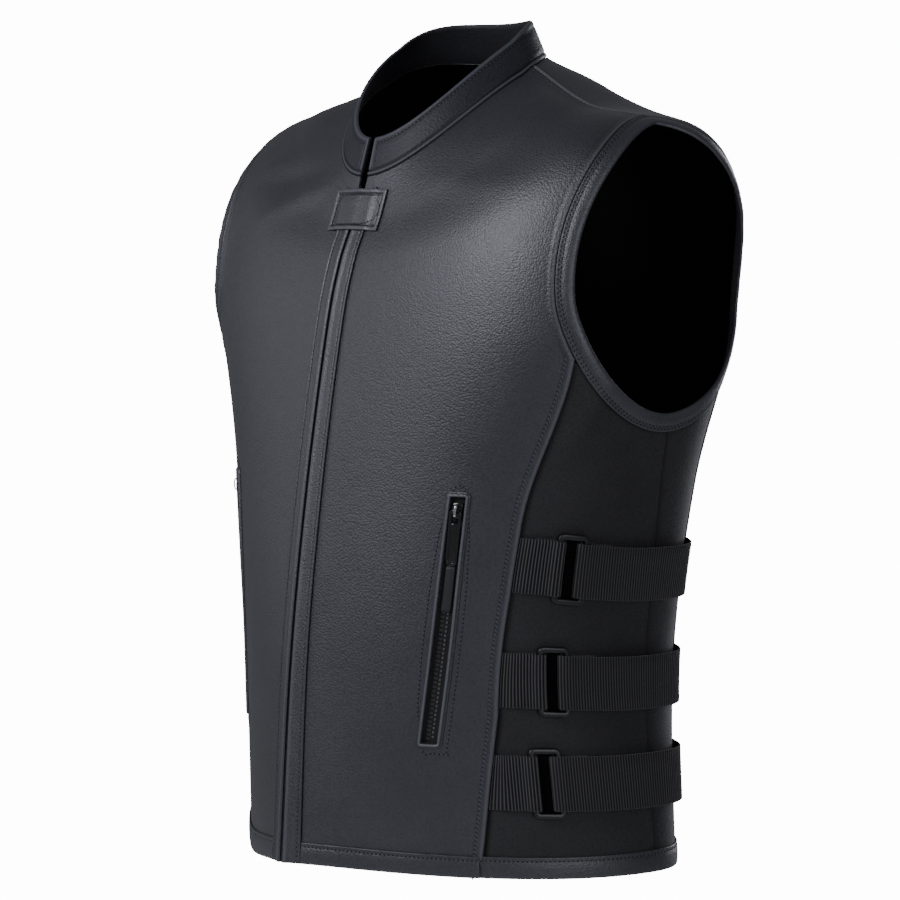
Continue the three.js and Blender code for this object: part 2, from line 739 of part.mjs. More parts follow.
// The tab over the top of the centre front, on the folded edges
function tabLoops() {
  const count = 10;
  const base = 2 * seamGap + trimWall + 0.1;
  const middle = (tab.top + tab.bottom) / 2;
  return Array.from({ length: count + 1 }, (_, i) => {
    const x = lerp(tab.from, tab.to, i / count) || 0.01;
    const at = (z, out) => onFront(x, z, out);
    return [
      at(tab.bottom, base),
      at(tab.bottom, base + trimWall),
      at(middle, base + trimWall + 0.3),
      at(tab.top, base + trimWall),
      at(tab.top, base),
      at(middle, base),
    ];
  });
}
vest.add(tube("neck_tab", tabLoops(), leather()));

// The zip's tape behind the gap between the fronts
function zipTapeLoops() {
  const { reach } = zipTape;
  const outer = leatherWall + zipTape.clear;
  const inner = outer + zipTape.wall;
  const rows = frontStart.slice(0, neckRows - 1).map((place) => place.row);
  rows[0] = hemBandRow / 4;
  return rows.map((row) => {
    const at = (x, out) => moved(frameAt(angleAtWidth(x, row), row), -out);
    const middle = (out) => moved(frameAt(0, row), -out);
    const side = (sign) => [at(sign * reach, outer), at(sign * reach, inner)];
    const [left, right] = [side(-1), side(1)];
    return [left[0], middle(outer), ...right, middle(inner), left[1]];
  });
}
vest.add(tube("centre_zip_tape", zipTapeLoops(), zipTapeCloth()));

// Straps and buckles
for (const strap of straps) {
  const course = strapCourse(strap);
  const middle = strap.buckleFrom + buckle.width / 2;
  const onBuckle = (across, up, out) => course.at(middle + across, up, out);
  const front = webbingLoops(course, frontWebbingPath(strap));
  const rear = webbingLoops(course, rearWebbingPath(strap, course.total));
  const ring = frameLoops(buckle, buckle.lift, buckle.lift + buckle.wall, onBuckle, 1, 1);
  addPair((side) => tube(`${strap.name}_strap_front_${side}`, front, webbing()));
  addPair((side) => tube(`${strap.name}_strap_rear_${side}`, rear, webbing()));
  addPair((side) => tube(`${strap.name}_buckle_${side}`, ring, blackPlastic(), true));
}

// Pockets
const welt = {
  width: pocket.opening + 2 * pocket.welt,
  height: welted.length + 2 * pocket.welt,
  corner: pocket.welt + 0.5,
  bar: pocket.welt,
};
const weltLoops = frameLoops(welt, pocket.lift, pocket.lift + pocket.wall, welted.at, 8, 1);
addPair((side) => tube(`pocket_welt_${side}`, weltLoops, leather(), true));

const tapeHigh = -leatherWall - zipTape.clear;
const [tapeAcross, tapeAlong] = [openAcross + zipTape.wider, openAlong + zipTape.wider];
const tapeBox = [-tapeAcross, tapeAcross, -tapeAlong, tapeAlong, tapeHigh - zipTape.wall, tapeHigh];
addPair((side) => block(`pocket_zip_tape_${side}`, welted.at, tapeBox, zipTapeCloth(), 8));

const sliderMiddle = openAlong - slider.fromEnd - slider.length / 2;
const sliderLow = tapeHigh + seamGap;
const sliderHigh = sliderLow + slider.wall;
const [sliderAcross, sliderAlong] = [slider.width / 2, slider.length / 2];
const sliderEnds = [sliderMiddle - sliderAlong, sliderMiddle + sliderAlong];
const sliderBox = [-sliderAcross, sliderAcross, ...sliderEnds, sliderLow, sliderHigh];
addPair((side) => block(`pocket_slider_${side}`, welted.at, sliderBox, blackMetal()));

function crownLoops() {
  const half = crown.wall / 2;
  const foot = sliderHigh + seamGap;
  const roof = foot + crown.inside;
  const path = [
    [-crown.reach, foot, -half, 0],
    [-crown.reach, roof - 0.6, -half, 0],
    [-crown.reach + 1, roof + half, -half, half],
    [crown.reach - 1, roof + half, half, half],
    [crown.reach, roof - 0.6, half, 0],
    [crown.reach, foot, half, 0],
  ];
  return path.map(([along, out, awayAlong, awayOut]) => {
    const place = sliderMiddle + along;
    const at = (across, sign) => welted.at(across, place + sign * awayAlong, out + sign * awayOut);
    const [left, right] = [-crown.width / 2, crown.width / 2];
    return [at(left, -1), at(right, -1), at(right, 1), at(left, 1)];
  });
}
addPair((side) => tube(`pocket_crown_${side}`, crownLoops(), blackMetal()));

// The pull is straight: from its bar inside the crown down to just above the zip
const pivotOut = sliderHigh + seamGap + crown.inside / 2;
const pivot = welted.at(0, sliderMiddle, pivotOut);
const pullEnd = welted.at(0, sliderMiddle - pull.length + pull.bar, tapeHigh + pull.endRise);
const pullAlong = pivot.clone().sub(pullEnd).normalize();
const pullAcross = welted.at(1, sliderMiddle, pivotOut).sub(welted.at(-1, sliderMiddle, pivotOut));
pullAcross.addScaledVector(pullAlong, -pullAcross.dot(pullAlong)).normalize();
const pullOut = pullAcross.clone().cross(pullAlong);
const pullMiddle = pivot.clone().addScaledVector(pullAlong, (pull.bar - pull.length) / 2);
function onPull(across, along, out) {
  const point = pullMiddle.clone().addScaledVector(pullAcross, across);
  return point.addScaledVector(pullAlong, along).addScaledVector(pullOut, out);
}

const pullFrame = { width: pull.width, height: pull.length, corner: pull.corner, bar: pull.bar };
const pullLoops = frameLoops(pullFrame, -pull.wall / 2, pull.wall / 2, onPull, 2, 1);
addPair((side) => tube(`pocket_pull_${side}`, pullLoops, blackMetal(), true));

const tagTop = sliderMiddle - pull.length + pull.bar / 2 - seamGap;
const tagLow = tapeHigh + tag.rise;
const tagBox = [-tag.width / 2, tag.width / 2, tagTop - tag.length, tagTop, tagLow, tagLow + tag.wall];
addPair((side) => block(`pocket_pull_tag_${side}`, welted.at, tagBox, zipTapeCloth()));
vest.userData.pullHinge = { position: pivot.toArray(), axis: pullAcross.toArray() };

export default vest;
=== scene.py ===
import math

import bpy
import numpy as np
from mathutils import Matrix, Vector


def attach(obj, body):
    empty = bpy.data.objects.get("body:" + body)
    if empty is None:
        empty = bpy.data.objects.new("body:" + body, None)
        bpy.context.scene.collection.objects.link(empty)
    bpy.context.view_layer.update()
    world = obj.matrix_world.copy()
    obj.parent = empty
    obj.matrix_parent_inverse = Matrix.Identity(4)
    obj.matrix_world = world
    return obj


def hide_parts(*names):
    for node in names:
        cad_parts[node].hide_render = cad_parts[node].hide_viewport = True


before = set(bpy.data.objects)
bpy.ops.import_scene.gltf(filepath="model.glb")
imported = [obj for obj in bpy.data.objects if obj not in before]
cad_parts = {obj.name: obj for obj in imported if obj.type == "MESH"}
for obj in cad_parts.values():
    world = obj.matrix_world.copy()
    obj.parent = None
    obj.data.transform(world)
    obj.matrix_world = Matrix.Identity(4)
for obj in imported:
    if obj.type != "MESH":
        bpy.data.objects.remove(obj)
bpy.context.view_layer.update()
print("frame loaded")

mm = 0.001
sides = {"left": 1, "right": -1}    # the wearer's left is +X


# Camera at the photograph's angle
camera = {
    "azimuth": 51.0, "elevation": 4.66, "distance": 2.4, "lens": 124.2,
    "aimHeight": -0.285, "aimAside": -0.007,
}


def makeCamera():
    az, el = math.radians(camera["azimuth"]), math.radians(camera["elevation"])
    back = Vector((math.sin(az) * math.cos(el), -math.cos(az) * math.cos(el), math.sin(el)))
    aside = Vector((math.cos(az), math.sin(az), 0)) * camera["aimAside"]
    data = bpy.data.cameras.new("camera")
    data.lens = camera["lens"]
    data.sensor_width = 36
    eye = bpy.data.objects.new("camera", data)
    eye.location = Vector((0, 0, camera["aimHeight"])) + aside + back * camera["distance"]
    eye.rotation_euler = back.to_track_quat("Z", "Y").to_euler()
    bpy.context.collection.objects.link(eye)
    bpy.context.scene.camera = eye


makeCamera()


# The body's form: rings from the hem (row 0) to the neck (row 6), in millimetres and degrees.
# An angle runs from the centre front (0) round the wearer's left (90) to the centre back (180).
# Columns: z half front back middle frontDrop backDrop backRise frontPower backPower keel tilt
bodyRings = np.array([
    [-583, 206, -139, 99, 20, 0, 0, 0, 1.95, 2.2, 32, 0],          # hem
    [-430, 194, -146, 106, 20, 0, 0, 0, 2.15, 2.35, 14, 0],        # waist
    [-300, 213, -132, 112, 20, 0, 0, 0, 2.5, 2.4, 12, 0],          # under the chest
    [-180, 240, -119, 130, 20, -6, 10, 0, 2.7, 2.55, 6, 0],        # chest
    [-52, 229, -113, 121, 22, -86, -48, -9, 2.35, 2.35, 0, 0],     # shoulder tips
    [-23, 148, -101, 84, -6, -85, -10, 13, 2.1, 2.05, 0, 0.3],     # half way up the shoulders
    [0, 81, -92, 56, -5, -75, 13, 0, 2.05, 2.05, 0, 1],            # neck seam
], float)
collarTop = np.array([25, 67.5, -84, 47, -6, -71, 18, 0, 2, 2.05, 0, 1], float)
form = {
    "neckRow": 6, "centreBack": 180, "sideSeam": 90, "shoulderAtNeck": 101,
    "wall": 2, "sideWall": 1.6, "sideInset": 1.2, "trimWall": 1.2, "gap": 0.3,
    "frontGap": 1.5, "collarGap": 4.5, "partingRow": 4.9, "hemBand": 16, "frontEdge": 15,
}
armhole = {
    "front": -76.5, "back": 93.5, "top": -33, "bottom": -259, "widest": -162, "power": 1.9,
    "topTurn": 90, "sideTurn": 274, "frontTurn": 207, "backTurn": -27,
}
frontSeam = np.array([[-583, 44.2], [-516, 47.8], [-464, 50.8], [-375, 52.6], [-305, 52.8], [-235, 54]])
backSeam = np.array([[-583, 126], [-516, 125], [-464, 124], [-375, 122.5], [-305, 121], [-235, 119]])

hemSag = {"angle": -30, "wide": 22, "high": 13, "rows": 1.4}      # the right front hangs a little lower

# Soft ridges and troughs of the leather: places along each one as (angle, row), in degrees and rows
creases = [
    {"at": [(-60, 2.7), (-65, 3.2), (-67, 3.8)], "wide": 36, "high": 8},
    {"at": [(104, 2.9), (112, 3.6), (108, 4.2)], "wide": 38, "high": 7.5},
    {"at": [(-66, 5.5), (-78, 4.9), (-84, 4.2)], "wide": 26, "high": 4.5},
    {"at": [(118, 5.5), (110, 4.9), (104, 4.5)], "wide": 20, "high": -2.5},
    {"at": [(-70, 4.06), (-61, 3.76), (-57.5, 3.48), (-57.5, 3.19), (-60.5, 2.97)], "wide": 22, "high": 6.5},
    {"at": [(-24, 5.5), (-30, 4.9), (-33, 4.2)], "wide": 11, "high": 2.2},
    {"at": [(-36, 5.5), (-41, 4.9), (-44, 4.3)], "wide": 9, "high": -1.4},
    {"at": [(-50, 5.2), (-52, 4.7), (-52, 4.2)], "wide": 10, "high": 1.4},
    {"at": [(30, 5.4), (38, 4.9), (45, 4.3)], "wide": 14, "high": 1.2},
    {"at": [(60, 3.2), (64, 3.6), (66, 4.0)], "wide": 12, "high": 1.1},
    {"at": [(68, 2.55), (80, 2.35), (92, 2.4)], "wide": 12, "high": -1.6},
    {"at": [(58, 2.15), (66, 2.4), (72, 2.75)], "wide": 10, "high": 1.3},
    {"at": [(62, 0.95), (76, 0.9), (90, 0.97)], "wide": 11, "high": -1.3},
    {"at": [(60, 1.35), (74, 1.28), (88, 1.38)], "wide": 9, "high": 1.2},
    {"at": [(64, 0.42), (80, 0.37), (96, 0.45)], "wide": 10, "high": -1.2},
    {"at": [(100, 1.2), (110, 1.3), (118, 1.22)], "wide": 12, "high": 1.0},
    {"at": [(-66, 2.45), (-80, 2.3), (-90, 2.42)], "wide": 13, "high": -1.5},
    {"at": [(-64, 1.3), (-76, 1.24), (-90, 1.34)], "wide": 10, "high": 1.3},
    {"at": [(-60, 0.9), (-76, 0.84), (-92, 0.95)], "wide": 11, "high": -1.2},
    {"at": [(150, 2.7), (163, 2.95), (172, 3.4)], "wide": 18, "high": 1.7},
    {"at": [(-152, 2.6), (-162, 2.9), (-170, 3.3)], "wide": 17, "high": 1.5},
    {"at": [(136, 1.3), (150, 1.15), (166, 1.2)], "wide": 16, "high": -1.5},
    {"at": [(-138, 1.0), (-152, 1.15), (-168, 1.05)], "wide": 15, "high": -1.4},
    {"at": [(128, 4.3), (138, 4.7), (146, 5.1)], "wide": 13, "high": 1.3},
    {"at": [(-130, 4.2), (-140, 4.6), (-149, 5.0)], "wide": 12, "high": 1.2},
]


def smooth(t):
    t = np.clip(t, 0, 1)
    return t * t * (3 - 2 * t)


def lerp(a, b, t):
    return a + (b - a) * t


def bell(distance, width):
    return np.exp(-(distance / width) ** 2)


def unit(v):
    return v / np.maximum(np.linalg.norm(v, axis=-1, keepdims=True), 1e-9)


def lengthAlong(points):
    steps = np.linalg.norm(np.diff(points, axis=0), axis=-1)
    return np.concatenate([0 * steps[:1], np.cumsum(steps, axis=0)])


def mixRings(row):
    last = len(bodyRings) - 1
    below, above = 2 * bodyRings[0] - bodyRings[1], 2 * bodyRings[-1] - bodyRings[-2]
    rings = np.vstack([below, bodyRings, above])
    at = np.clip(row, 0, last)
    i = np.minimum(at.astype(int), last - 1)
    t = (at - i)[..., None]
    a, b, c, d = rings[i], rings[i + 1], rings[i + 2], rings[i + 3]
    square, cube = 2 * a - 5 * b + 4 * c - d, 3 * b - a - 3 * c + d
    return 0.5 * (2 * b + (c - a) * t + square * t ** 2 + cube * t ** 3)


def ringPoint(ring, angle):
    z, half, front, back, middle, frontDrop, backDrop, backRise, *shape = np.moveaxis(ring, -1, 0)
    frontPower, backPower, keel, tilt = shape
    s, c = np.sin(np.radians(angle)), np.cos(np.radians(angle))
    inFront = c >= 0
    power = 2 / np.where(inFront, frontPower, backPower)
    depth = np.where(inFront, middle - front, back - middle)
    forward = np.where(inFront, keel * (1 - np.abs(s)) ** 2, 0)
    drop = np.where(inFront, frontDrop * c ** 2, backDrop * c ** 4)
    tilted = ((frontDrop - backDrop) * c + (frontDrop + backDrop) * c * c) / 2
    x = half * np.sign(s) * np.abs(s) ** power
    y = middle - np.sign(c) * depth * np.abs(c) ** power - forward
    ridge = np.where(inFront, 0, backRise * 6.75 * c * c * (1 + c))
    return np.stack(np.broadcast_arrays(x, y, z + (1 - tilt) * drop + tilt * tilted + ridge), -1)


def surface(angle, row):
    angle, row = np.broadcast_arrays(np.asarray(angle, float), np.asarray(row, float))
    points = ringPoint(mixRings(row), angle)
    low = np.clip(1 - row / hemSag["rows"], 0, 1) ** 2 * bell(angle - hemSag["angle"], hemSag["wide"])
    return points - np.stack([0 * low, 0 * low, hemSag["high"] * low], -1)


def surfaceAt(places):
    return surface(places[..., 0], places[..., 1])


def creaseHeight(points):
    high = np.zeros(points.shape[:-1])
    for crease in creases:
        marks = np.array(crease["at"], float)
        t = np.linspace(0, len(marks) - 1, 13)
        line = surface(*(np.interp(t, range(len(marks)), mark) for mark in marks.T))
        share = np.sin(np.pi * np.clip(t / t[-1], 0.04, 0.96)) ** 0.6
        near = np.linalg.norm(points - line[6], axis=-1) < 160
        away = np.linalg.norm(points[near][:, None] - line, axis=-1)
        high[near] += crease["high"] * (bell(away, crease["wide"]) * share).max(axis=-1)
    return high


def frameAt(places):
    angle, row = places[..., 0], places[..., 1]
    step, rowStep = 0.25, 0.01
    around = (surface(angle + step, row) - surface(angle - step, row)) / (2 * step)
    low, high = np.maximum(row - rowStep, 0), np.minimum(row + rowStep, form["neckRow"])
    up = unit(surface(angle, high) - surface(angle, low))
    out = unit(np.cross(around, up))
    point = surface(angle, row)
    return {"point": point + out * creaseHeight(point)[..., None], "out": out, "up": up, "around": around}


def lifted(places, out):
    at = frameAt(places)
    return at["point"] + at["out"] * np.asarray(out, float)[..., None]


# Places on the body
def rowAtHeight(angle, z):
    angle, z = np.broadcast_arrays(np.asarray(angle, float), np.asarray(z, float))
    low, high = np.zeros(z.shape), np.full(z.shape, float(form["neckRow"]))
    for _ in range(30):
        middle = (low + high) / 2
        below = surface(angle, middle)[..., 2] < z
        low, high = np.where(below, middle, low), np.where(below, high, middle)
    return (low + high) / 2


def angleAtWidth(x, row):
    x, row = np.broadcast_arrays(np.asarray(x, float), np.asarray(row, float))
    low, high = np.zeros(x.shape), np.full(x.shape, 89.0)
    for _ in range(30):
        middle = (low + high) / 2
        below = surface(middle, row)[..., 0] < np.abs(x)
        low, high = np.where(below, middle, low), np.where(below, high, middle)
    return np.sign(x) * (low + high) / 2


def solvePlaces(axes, wanted, angle, row):
    step = 1e-3
    u, v = axes
    for _ in range(18):
        here = surface(angle, row)
        a = (surface(angle + step, row) - here) / step
        b = (surface(angle, row + step) - here) / step
        missU, missV = here[..., u] - wanted[0], here[..., v] - wanted[1]
        det = a[..., u] * b[..., v] - a[..., v] * b[..., u]
        angle = angle + np.clip((missV * b[..., u] - missU * b[..., v]) / det, -20, 20)
        row = row + np.clip((missU * a[..., v] - missV * a[..., u]) / det, -0.6, 0.6)
        angle, row = np.clip(angle, 0.05, 177), np.clip(row, 0, form["neckRow"] - 0.01)
    return np.stack([angle, row], -1)


def placesOnFront(x, z):
    x, z = np.broadcast_arrays(np.asarray(x, float), np.asarray(z, float))
    row = np.interp(z, bodyRings[:, 0], range(len(bodyRings)))
    wide = np.maximum(np.abs(x), 0.01)
    angle = np.degrees(np.arcsin(np.clip(wide / 240, 0, 0.9)))
    places = solvePlaces((0, 2), (wide, z), angle, row)
    places[..., 0] *= np.where(x < 0, -1, 1)
    return places


def armholePlaces(turns):
    s, c = np.sin(np.radians(turns)), np.cos(np.radians(turns))
    power = 2 / armhole["power"]
    centre = (armhole["front"] + armhole["back"]) / 2
    reach = np.where(s >= 0, armhole["top"] - armhole["widest"], armhole["widest"] - armhole["bottom"])
    y = centre + (armhole["back"] - armhole["front"]) / 2 * np.sign(c) * np.abs(c) ** power
    z = armhole["widest"] + reach * np.sign(s) * np.abs(s) ** power
    row = np.interp(z, bodyRings[:, 0], range(len(bodyRings)))
    return solvePlaces((1, 2), (y, z), 90 + (y - centre) * 0.35, row)


def seamAngle(seam, z):
    slope = (seam[-1, 1] - seam[-2, 1]) / (seam[-1, 0] - seam[-2, 0])
    return np.interp(z, seam[:, 0], seam[:, 1]) + np.maximum(z - seam[-1, 0], 0) * slope


def nudge(places, length):
    around = np.linalg.norm(frameAt(places)["around"], axis=-1)
    return np.stack([places[..., 0] + length / around, places[..., 1]], -1)


def joined(*stretches):
    return np.concatenate([stretches[0], *[stretch[1:] for stretch in stretches[1:]]])


fine = {                 # cells along each edge of the panels
    "hem": 4, "side": 60, "chest": 44, "neck": 36, "arm": 80, "underArm": 26, "backNeck": 44, "shoulder": 34,
}
hemBandRow = float(rowAtHeight(form["sideSeam"], bodyRings[0, 0] + form["hemBand"]))
frontCorner, backCorner, sideCorner = armholePlaces(np.array([
    armhole["frontTurn"], armhole["backTurn"], armhole["sideTurn"]], float))


def sideRows(corner):
    low = np.linspace(0, hemBandRow, fine["hem"] + 1)
    return joined(low, np.linspace(hemBandRow, corner[1], fine["side"] + 1))


def seamPlaces(seam, corner):
    rows = sideRows(corner)
    z = surface(form["sideSeam"], rows)[..., 2]
    blend = smooth(rows - corner[1] + 1)
    return np.stack([lerp(seamAngle(seam, z), corner[0], blend), rows], -1)


frontSeamPlaces = seamPlaces(frontSeam, frontCorner)
backSeamPlaces = seamPlaces(backSeam, backCorner)
straightSeam = np.array([[z, form["sideSeam"]] for z in bodyRings[:2, 0]], float)
sideSeamPlaces = seamPlaces(straightSeam, sideCorner)


def armTurns(first, last, count):
    return armholePlaces(np.linspace(armhole[first], armhole[last], count + 1))


def parting(rows):           # half of the gap between the fronts, wider towards the neck
    opened = smooth((rows - form["partingRow"]) / (form["neckRow"] - form["partingRow"]))
    return lerp(form["frontGap"], form["collarGap"], opened)


def frontEdgePlaces(rows, extra):
    return np.stack([angleAtWidth(parting(rows) + extra, rows), rows], -1)


edgeRows = joined(sideRows(frontCorner), np.linspace(frontCorner[1], form["neckRow"], fine["chest"] + 1))
neckCorner = frontEdgePlaces(np.array([float(form["neckRow"])]), 0)[0]
neckShoulder = np.array([form["shoulderAtNeck"], form["neckRow"]], float)
frontStart = joined(
    frontEdgePlaces(edgeRows, 0),
    lerp(neckCorner, neckShoulder, np.linspace(0, 1, fine["neck"] + 1)[:, None]),
)
frontEnd = joined(frontSeamPlaces, armTurns("frontTurn", "topTurn", fine["arm"]))


# Meshes
def newPiece(name, points, faces, material, body="root", replaced=(), slot=None):
    mesh = bpy.data.meshes.new(name)
    mesh.from_pydata((points * mm).tolist(), [], faces)
    mesh.polygons.foreach_set("use_smooth", [True] * len(mesh.polygons))
    piece = bpy.data.objects.new(name, mesh)
    bpy.context.collection.objects.link(piece)
    turnOutwards(mesh)
    mesh.materials.append(material)
    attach(piece, body)
    if replaced:
        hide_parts(*replaced)
    return piece


def turnOutwards(mesh):
    mesh.calc_loop_triangles()
    corners = np.zeros(len(mesh.vertices) * 3)
    mesh.vertices.foreach_get("co", corners)
    corners = corners.reshape(-1, 3)
    index = np.zeros(len(mesh.loop_triangles) * 3, np.int32)
    mesh.loop_triangles.foreach_get("vertices", index)
    a, b, c = corners[index.reshape(-1, 3)].transpose(1, 0, 2)
    if np.einsum("ij,ij->", a, np.cross(b, c)) < 0:
        mesh.flip_normals()


def setValues(mesh, name, values):
    attribute = mesh.attributes.new(name, "FLOAT", "POINT")
    attribute.data.foreach_set("value", np.asarray(values, np.float32).ravel())


def wallFaces(rows, columns):
    i, j = np.meshgrid(np.arange(rows - 1), np.arange(columns - 1), indexing="ij")
    a = (i * columns + j).ravel()
    outer = np.stack([a, a + 1, a + columns + 1, a + columns], -1)
    size = rows * columns
    inner = outer[:, ::-1] + size
    k = np.arange(rows - 1) * columns
    start = np.stack([k, k + columns, k + columns + size, k + size], -1)
    end = np.stack([k + size, k + columns + size, k + columns, k], -1) + columns - 1
    j = np.arange(columns - 1)
    low = np.stack([j + size, j + 1 + size, j + 1, j], -1)
    top = np.stack([j, j + 1, j + 1 + size, j + size], -1) + (rows - 1) * columns
    return np.concatenate([outer, inner, start, end, low, top]).tolist()


cuts = {}                # each cloth piece's points, and whether they go all round it


def wallPiece(name, outer, inner, material, shade=None, **rest):
    cuts[name] = (outer, False)
    rows, columns = outer.shape[:2]
    points = np.concatenate([outer.reshape(-1, 3), inner.reshape(-1, 3)])
    piece = newPiece(name, points, wallFaces(rows, columns), material, **rest)
    cells = (rows - 1) * (columns - 1)
    # The inner faces take the near-black: painted shade inside the vest, with the inner side's own dark
    # colour.
    inside = np.zeros(len(piece.data.polygons), np.int32)
    inside[cells:2 * cells] = 1
    piece.data.materials.append(mattBlack)
    piece.data.polygons.foreach_set("material_index", inside)
    if shade is None:
        shade = np.zeros((rows, columns))
    setValues(piece.data, "shade", np.concatenate([shade.ravel(), np.zeros(rows * columns)]))
    return piece


def loftPiece(name, loops, material, ring=False, shade=None, **rest):
    cuts[name] = (np.concatenate([loops, loops[:1]]) if ring else loops, True)
    count, size = loops.shape[:2]
    i, k = np.meshgrid(np.arange(count if ring else count - 1), np.arange(size), indexing="ij")
    i, k = i.ravel(), k.ravel()
    after, beside = (i + 1) % count, (k + 1) % size
    faces = np.stack([i * size + k, i * size + beside, after * size + beside, after * size + k], -1).tolist()
    if not ring:
        faces.append(list(range(size))[::-1])
        faces.append([(count - 1) * size + k for k in range(size)])
    piece = newPiece(name, loops.reshape(-1, 3), faces, material, **rest)
    if shade is None:
        shade = np.zeros((count, size))
    setValues(piece.data, "shade", shade)
    return piece


def rounded(piece, width, segments=2):
    bevel = piece.modifiers.new("rounded edges", "BEVEL")
    bevel.width = width * mm
    bevel.segments = segments
    bevel.limit_method = "ANGLE"
    bevel.angle_limit = math.radians(50)
    return piece


def mirroredPlaces(places, sign):
    return places * np.array([sign, 1.0])


def swept(point, across, out, section):
    return point[:, None] + across[:, None] * section[None, :, :1] + out[:, None] * section[None, :, 1:2]


# Materials
def setInputs(tree, node, values):
    for key, value in values.items():
        if isinstance(value, bpy.types.NodeSocket):
            tree.links.new(value, node.inputs[key])
        else:
            node.inputs[key].default_value = value


def addNode(tree, kind, values=None, **settings):
    node = tree.nodes.new(kind)
    for key, value in settings.items():
        setattr(node, key, value)
    setInputs(tree, node, values or {})
    return node


def newMaterial(name, shader):
    material = bpy.data.materials.new(name)
    material.use_nodes = True
    tree = material.node_tree
    tree.nodes.clear()
    main = addNode(tree, "ShaderNodeBsdfPrincipled", shader)
    addNode(tree, "ShaderNodeOutputMaterial", {"Surface": main.outputs["BSDF"]})
    return material, tree, main, addNode(tree, "ShaderNodeTexCoord").outputs["Object"]


def mixColours(tree, factor, *colours):
    first, second = ((*colour, 1) if isinstance(colour, tuple) else colour for colour in colours)
    values = {0: factor, 6: first, 7: second}
    return addNode(tree, "ShaderNodeMix", values, data_type="RGBA", clamp_factor=True).outputs[2]


def ranged(tree, value, low, high, toLow=0, toHigh=1):
    values = {"Value": value, "From Min": low, "From Max": high, "To Min": toLow, "To Max": toHigh}
    return addNode(tree, "ShaderNodeMapRange", values).outputs["Result"]


def noise(tree, place, scale, detail, roughness=0.5):
    values = {"Vector": place, "Scale": scale, "Detail": detail, "Roughness": roughness}
    return addNode(tree, "ShaderNodeTexNoise", values)


def bumped(tree, height, strength, distance, under=None, invert=False):
    values = {"Height": height, "Strength": strength, "Distance": distance}
    if under:
        values["Normal"] = under
    return addNode(tree, "ShaderNodeBump", values, invert=invert).outputs["Normal"]


def shaded(tree, tone, look):        # painted light and shade from the shade values: -1 paints shade deep in a seam, 1 paints a highlight, with some wear, on a ridge
    shade = addNode(tree, "ShaderNodeAttribute", attribute_name="shade").outputs["Fac"]
    tone = mixColours(tree, ranged(tree, shade, 0, -1), tone, look["deep"])
    return mixColours(tree, ranged(tree, shade, 0, 1), tone, look["worn"])


def leatherMaterial(name, look):
    material, tree, main, place = newMaterial(name, {
        "Specular IOR Level": look["specular"], "Sheen Weight": look["sheen"], "Sheen Roughness": 0.5,
        "Coat Weight": look["coat"], "Coat Roughness": 0.42,
    })
    warp = noise(tree, place, look["grain"] * 0.5, 2.0).outputs["Color"]
    shift = addNode(tree, "ShaderNodeVectorMath", {0: warp, 1: (look["warp"],) * 3}, operation="MULTIPLY")
    warped = addNode(tree, "ShaderNodeVectorMath", {0: place, 1: shift.outputs["Vector"]}, operation="ADD")
    values = {"Vector": warped.outputs["Vector"], "Scale": look["grain"], "Randomness": 0.95}
    cells = addNode(tree, "ShaderNodeTexVoronoi", values, feature="F1").outputs["Distance"]
    pores = noise(tree, place, look["grain"] * 3.2, 3.0, 0.6).outputs["Fac"]
    patches = noise(tree, place, 14.0, 4.0, 0.55).outputs["Fac"]
    pebble = bumped(tree, cells, look["pebble"], 0.0006, invert=True)
    tone = mixColours(tree, ranged(tree, patches, 0.3, 0.7), look["dark"], look["light"])
    # Painted shade: the grain's valleys, at the cells' edges, are darkened towards the deep colour.
    tone = mixColours(tree, ranged(tree, cells, 0.35, 0.75, 0, look["cellDark"]), tone, look["deep"])
    setInputs(tree, main, {
        "Base Color": shaded(tree, tone, look),
        "Roughness": ranged(tree, patches, 0.3, 0.7, *look["roughness"]),
        "Normal": bumped(tree, pores, look["pore"], 0.0003, pebble),
    })
    return material


# In each look the deep colour paints shade in seams and in the grain's valleys, and the colour after it
# paints highlights, with some wear, on ridges and edges.
leatherLook = {
    "dark": (0.0145, 0.0147, 0.022), "light": (0.0215, 0.022, 0.0315), "deep": (0.004, 0.004, 0.0055),
    "worn": (0.085, 0.087, 0.105), "grain": 660, "warp": 0.0011, "pebble": 0.36, "pore": 0.2,
    "cellDark": 0.55, "specular": 0.8, "sheen": 0.03, "coat": 0.04, "roughness": (0.42, 0.48),
}
# The collar's copy of the leather has less specular and more roughness, which paints shade on the collar: it
# is the same leather as the fronts.
collarLook = {**leatherLook, "specular": 0.35, "roughness": (0.5, 0.58)}
sideLook = {
    "dark": (0.0155, 0.0155, 0.0165), "light": (0.026, 0.026, 0.0275), "deep": (0.0025, 0.0025, 0.0027),
    "worn": (0.03, 0.03, 0.032), "grain": 760, "warp": 0.0008, "pebble": 0.36, "pore": 0.3, "cellDark": 0.4,
    "specular": 0.28, "sheen": 0.08, "coat": 0.0, "roughness": (0.56, 0.68),
}
# Near-black, which paints shade: inside the vest, over the inner side's own dark colour, and on the buckles'
# centre bars between the strap folds.
mattLook = {
    "dark": (0.0012, 0.0012, 0.0013), "light": (0.002, 0.002, 0.0022), "deep": (0.0005, 0.0005, 0.0005),
    "worn": (0.004, 0.004, 0.004), "grain": 900, "warp": 0.0008, "pebble": 0.2, "pore": 0.3, "cellDark": 0.2,
    "specular": 0.08, "sheen": 0.0, "coat": 0.0, "roughness": (0.85, 0.95),
}
webbingLook = {
    "dark": (0.009, 0.009, 0.0095), "light": (0.017, 0.017, 0.018), "deep": (0.0006, 0.0006, 0.0006),
    "worn": (0.085, 0.085, 0.088), "threads": 900.0, "roughness": (0.6, 0.8),
}


